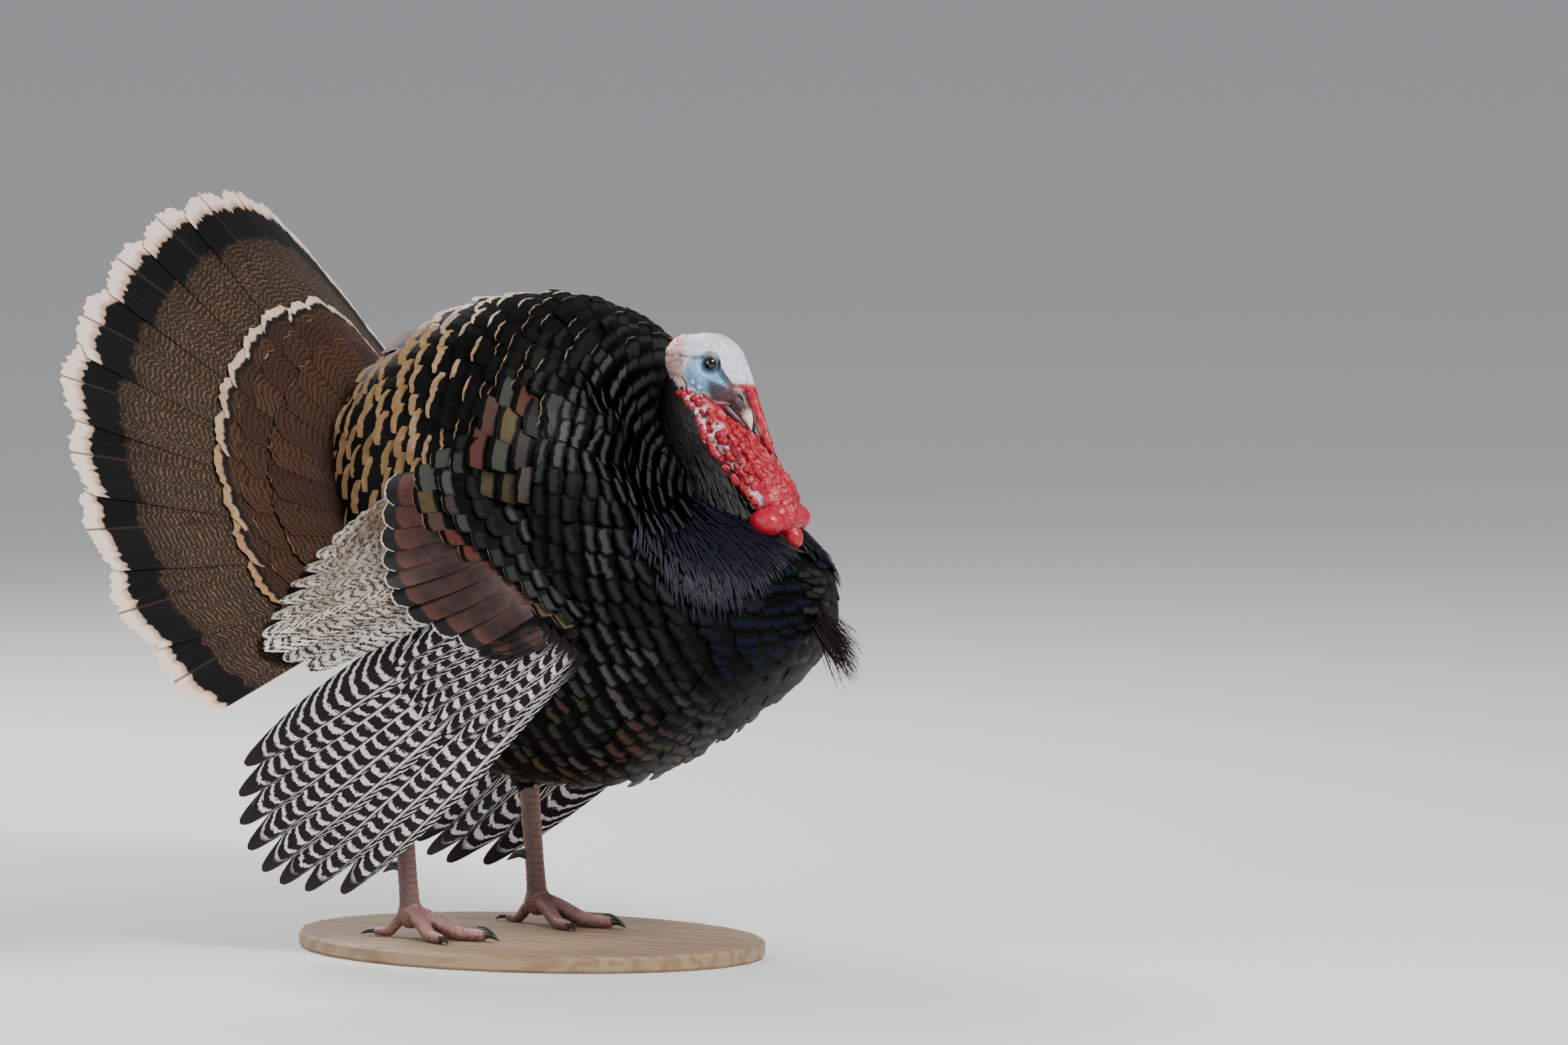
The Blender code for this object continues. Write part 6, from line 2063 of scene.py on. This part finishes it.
def build_neck_hair(body: PolarForm, rng: np.random.Generator) -> None:
    """Long hairlike feathers down the back and sides of the neck and over the upper breast."""
    neck = TubeForm([(x, 0, z) for x, z, _, _ in NECK], [(deep, wide) for _, _, deep, wide in NECK],
                    np.array([1.0, 0, 0.0]))
    vane = Vane(rows=6, columns=3, base=0.6, rounding=0.0, taper=0.8, camber=0.1)
    count = 4200
    a = rng.uniform(0.01, 0.98, count)
    b = wrapped(pi - rng.uniform(-1, 1, count) * (1.75 + 1.05 * ease(a, 0.2, 0.5)))
    point, normal = neck.at(a, b)
    lie = np.array([0.42, 0, -0.9]) + normal * 0.1 + rng.normal(0, 0.05, (count, 3))
    traits = plain_traits(count, rng)
    traits["hue"][:, 1] = ease(point[:, 2], 0.46, 0.4) * 0.5
    bake = unrolled(a, b)
    sizes = (rng.uniform(0.024, 0.04, count), np.full(count, 0.0026))
    lift = rng.uniform(-0.002, 0.0008, count)
    finish = hair_finish("neck_hairlike", (0.0028, 0.0023, 0.0024), (0.013, 0.01, 0.0095))
    depth = np.full(count, 0.006)
    coat = lay(neck, a, b, lie, vane, *sizes, depth, lift, rng, traits, bake, HAIR_PATCH)
    add_feathers("neck_hair", coat, finish, "neck_plumage")

    count = 24000
    a = 1.25 * np.sqrt(rng.random(count))
    b = rng.uniform(-1, 1, count) * 2.0
    point, _ = body.at(a, b)
    keep = cape(point) > rng.random(count)
    a, b, point = a[keep], b[keep], point[keep]
    count = len(a)
    lie = cape_lie(point) + rng.normal(0, 0.05, (count, 3))
    midline = ease(np.abs(point[:, 1]), 0.026, 0.012)
    traits = plain_traits(count, rng)
    traits["hue"][:, 1] = 0.85 * (1 - midline)
    traits["hue"][:, 2] = midline
    bake = unrolled(a / 1.2, b)
    sizes = (rng.uniform(0.022, 0.04, count), rng.uniform(0.002, 0.0027, count))
    lift = rng.uniform(-0.0015, 0.0004, count)
    depth = np.full(count, 0.006)
    coat = lay(body, a, b, unit(lie), vane, *sizes, depth, lift, rng, traits, bake, HAIR_PATCH)
    add_feathers("breast_hair", coat, finish, "neck_plumage")


BEARD_PATH = np.array([(0.238, 0, 0.32), (0.262, 0, 0.312), (0.284, 0, 0.296), (0.303, 0, 0.274)])


def build_beard(rng: np.random.Generator) -> None:
    """The beard: a tuft of wiry bristles."""
    count = 420
    start = BEARD_PATH[0] + rng.normal(0, 1, (count, 3)) * (0.003, 0.0045, 0.0035)
    aim = BEARD_PATH[3] + rng.normal(0, 1, (count, 3)) * (0.007, 0.007, 0.011) - (0.01, 0, 0.002)
    line = aim - start
    length = np.linalg.norm(line, axis=1) * rng.uniform(0.7, 1.0, count)
    out = unit(np.cross(line, rng.normal(0, 1, (count, 3))))
    bristles = strands(start + (0, 0, 0.01), unit(line + np.array([0.0, 0, 0.012])), out, length,
                       np.full(count, 0.001), rng)
    bristles.points[..., 0] = np.minimum(bristles.points[..., 0], BEARD_PATH[-1, 0] + 0.0005)
    finish = hair_finish("beard_wire", (0.005, 0.004, 0.0036), (0.026, 0.0165, 0.012))
    add_feathers("beard_bristles", bristles, finish, "beard_bristle", "beard")


def dress_stand() -> None:
    """A satin wood finish for the base, its grain running along X with rings that wander."""
    g = Graph("stand_wood_satin", roughness=0.45, specular=0.35)
    x, y, z = g.along()
    stretched = g.vector(x, g.mul(y, 9.0), g.mul(z, 9.0))
    wander = g.noise(stretched, 6.0, 4.0, 0.6)
    ring = g.bars(g.add(y, g.mul(wander, 0.06)), 0.022)
    pore = g.noise(g.vector(x, g.mul(y, 26.0), g.mul(z, 26.0)), 60.0, 3.0, 0.6)
    oak = g.mix(ring, (0.33, 0.225, 0.135), (0.25, 0.16, 0.09))
    g.colour(g.mix(g.reach(pore, 0.6, 0.72, 0.0, 0.6), oak, (0.12, 0.072, 0.04)))
    g.bump(pore, 0.2, 0.0004)
    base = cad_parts["stand_base"]
    base.data.materials.clear()
    base.data.materials.append(g.material)


# ---------------------------------------------------------------- the studio
def build_studio() -> None:
    """A pale floor, soft lights and the camera."""
    g = Graph("studio_floor", roughness=0.9, specular=0.1)
    g.colour((0.78, 0.77, 0.75))
    half = 60.0
    corners = np.array([(-half, -half, 0.0), (half, -half, 0.0), (half, half, 0.0), (-half, half, 0.0)])
    floor = add_mesh("floor", corners - SHIFT, np.array([[0, 1, 2, 3]]), g.material)

    world = bpy.data.worlds.new("studio")
    world.use_nodes = True
    world.node_tree.nodes["Background"].inputs[0].default_value = (0.93, 0.95, 1.0, 1.0)
    world.node_tree.nodes["Background"].inputs[1].default_value = 0.42
    bpy.context.scene.world = world

    turn, rise = radians(28.0), radians(5.0)
    right = np.array([cos(turn), sin(turn), 0.0])
    back = np.array([sin(turn) * cos(rise), -cos(turn) * cos(rise), sin(rise)])
    up = np.cross(back, right)
    aim = right * 0.1994 + up * 0.3913 + SHIFT
    lens, sensor, view_width = 300.0, 36.0, 1.4827
    distance = view_width * lens / sensor
    data = bpy.data.cameras.new("camera")
    data.lens, data.sensor_width = lens, sensor
    data.clip_end = 200.0
    camera = bpy.data.objects.new("camera", data)
    camera.matrix_world = Matrix(((right[0], up[0], back[0], 0), (right[1], up[1], back[1], 0),
                                  (right[2], up[2], back[2], 0), (0, 0, 0, 1)))
    camera.location = Vector(aim + back * distance)
    bpy.context.scene.collection.objects.link(camera)
    bpy.context.scene.camera = camera

    for name, place, size, power in (
            ("key", right * 1.6 + back * 2.2 + np.array([0, 0, 2.6]), 1.3, 165.0),
            ("fill", -right * 2.4 + back * 1.8 + np.array([0, 0, 1.2]), 2.2, 45.0),
            ("rim", -right * 1.2 - back * 2.0 + np.array([0, 0, 2.4]), 1.4, 90.0)):
        light = bpy.data.lights.new(name, "AREA")
        light.size, light.energy = size, power
        lamp = bpy.data.objects.new(name, light)
        lamp.location = Vector(place + SHIFT)
        aim_way = Vector(aim) - lamp.location
        lamp.rotation_mode = "QUATERNION"
        lamp.rotation_quaternion = aim_way.to_track_quat("-Z", "Y")
        bpy.context.scene.collection.objects.link(lamp)


def main() -> None:
    """Builds the turkey and its studio."""
    logging.basicConfig(level=logging.INFO, format="%(message)s")
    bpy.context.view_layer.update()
    rng = np.random.default_rng(SEED)
    body = body_form()
    build_body_coat(body, rng)
    build_tail(rng)
    finishes = {"barred": primary_finish(), "speckled": secondary_finish(), "bronze": plate_finish()}
    for side in SIDES:
        Wing(side, finishes).build()
    build_skin(body, rng)
    build_eyes()
    build_bill()
    build_claws()
    build_neck_hair(body, rng)
    build_beard(rng)
    build_thigh_coat(rng)
    dress_stand()
    build_studio()


if __name__ == "__main__":
    main()
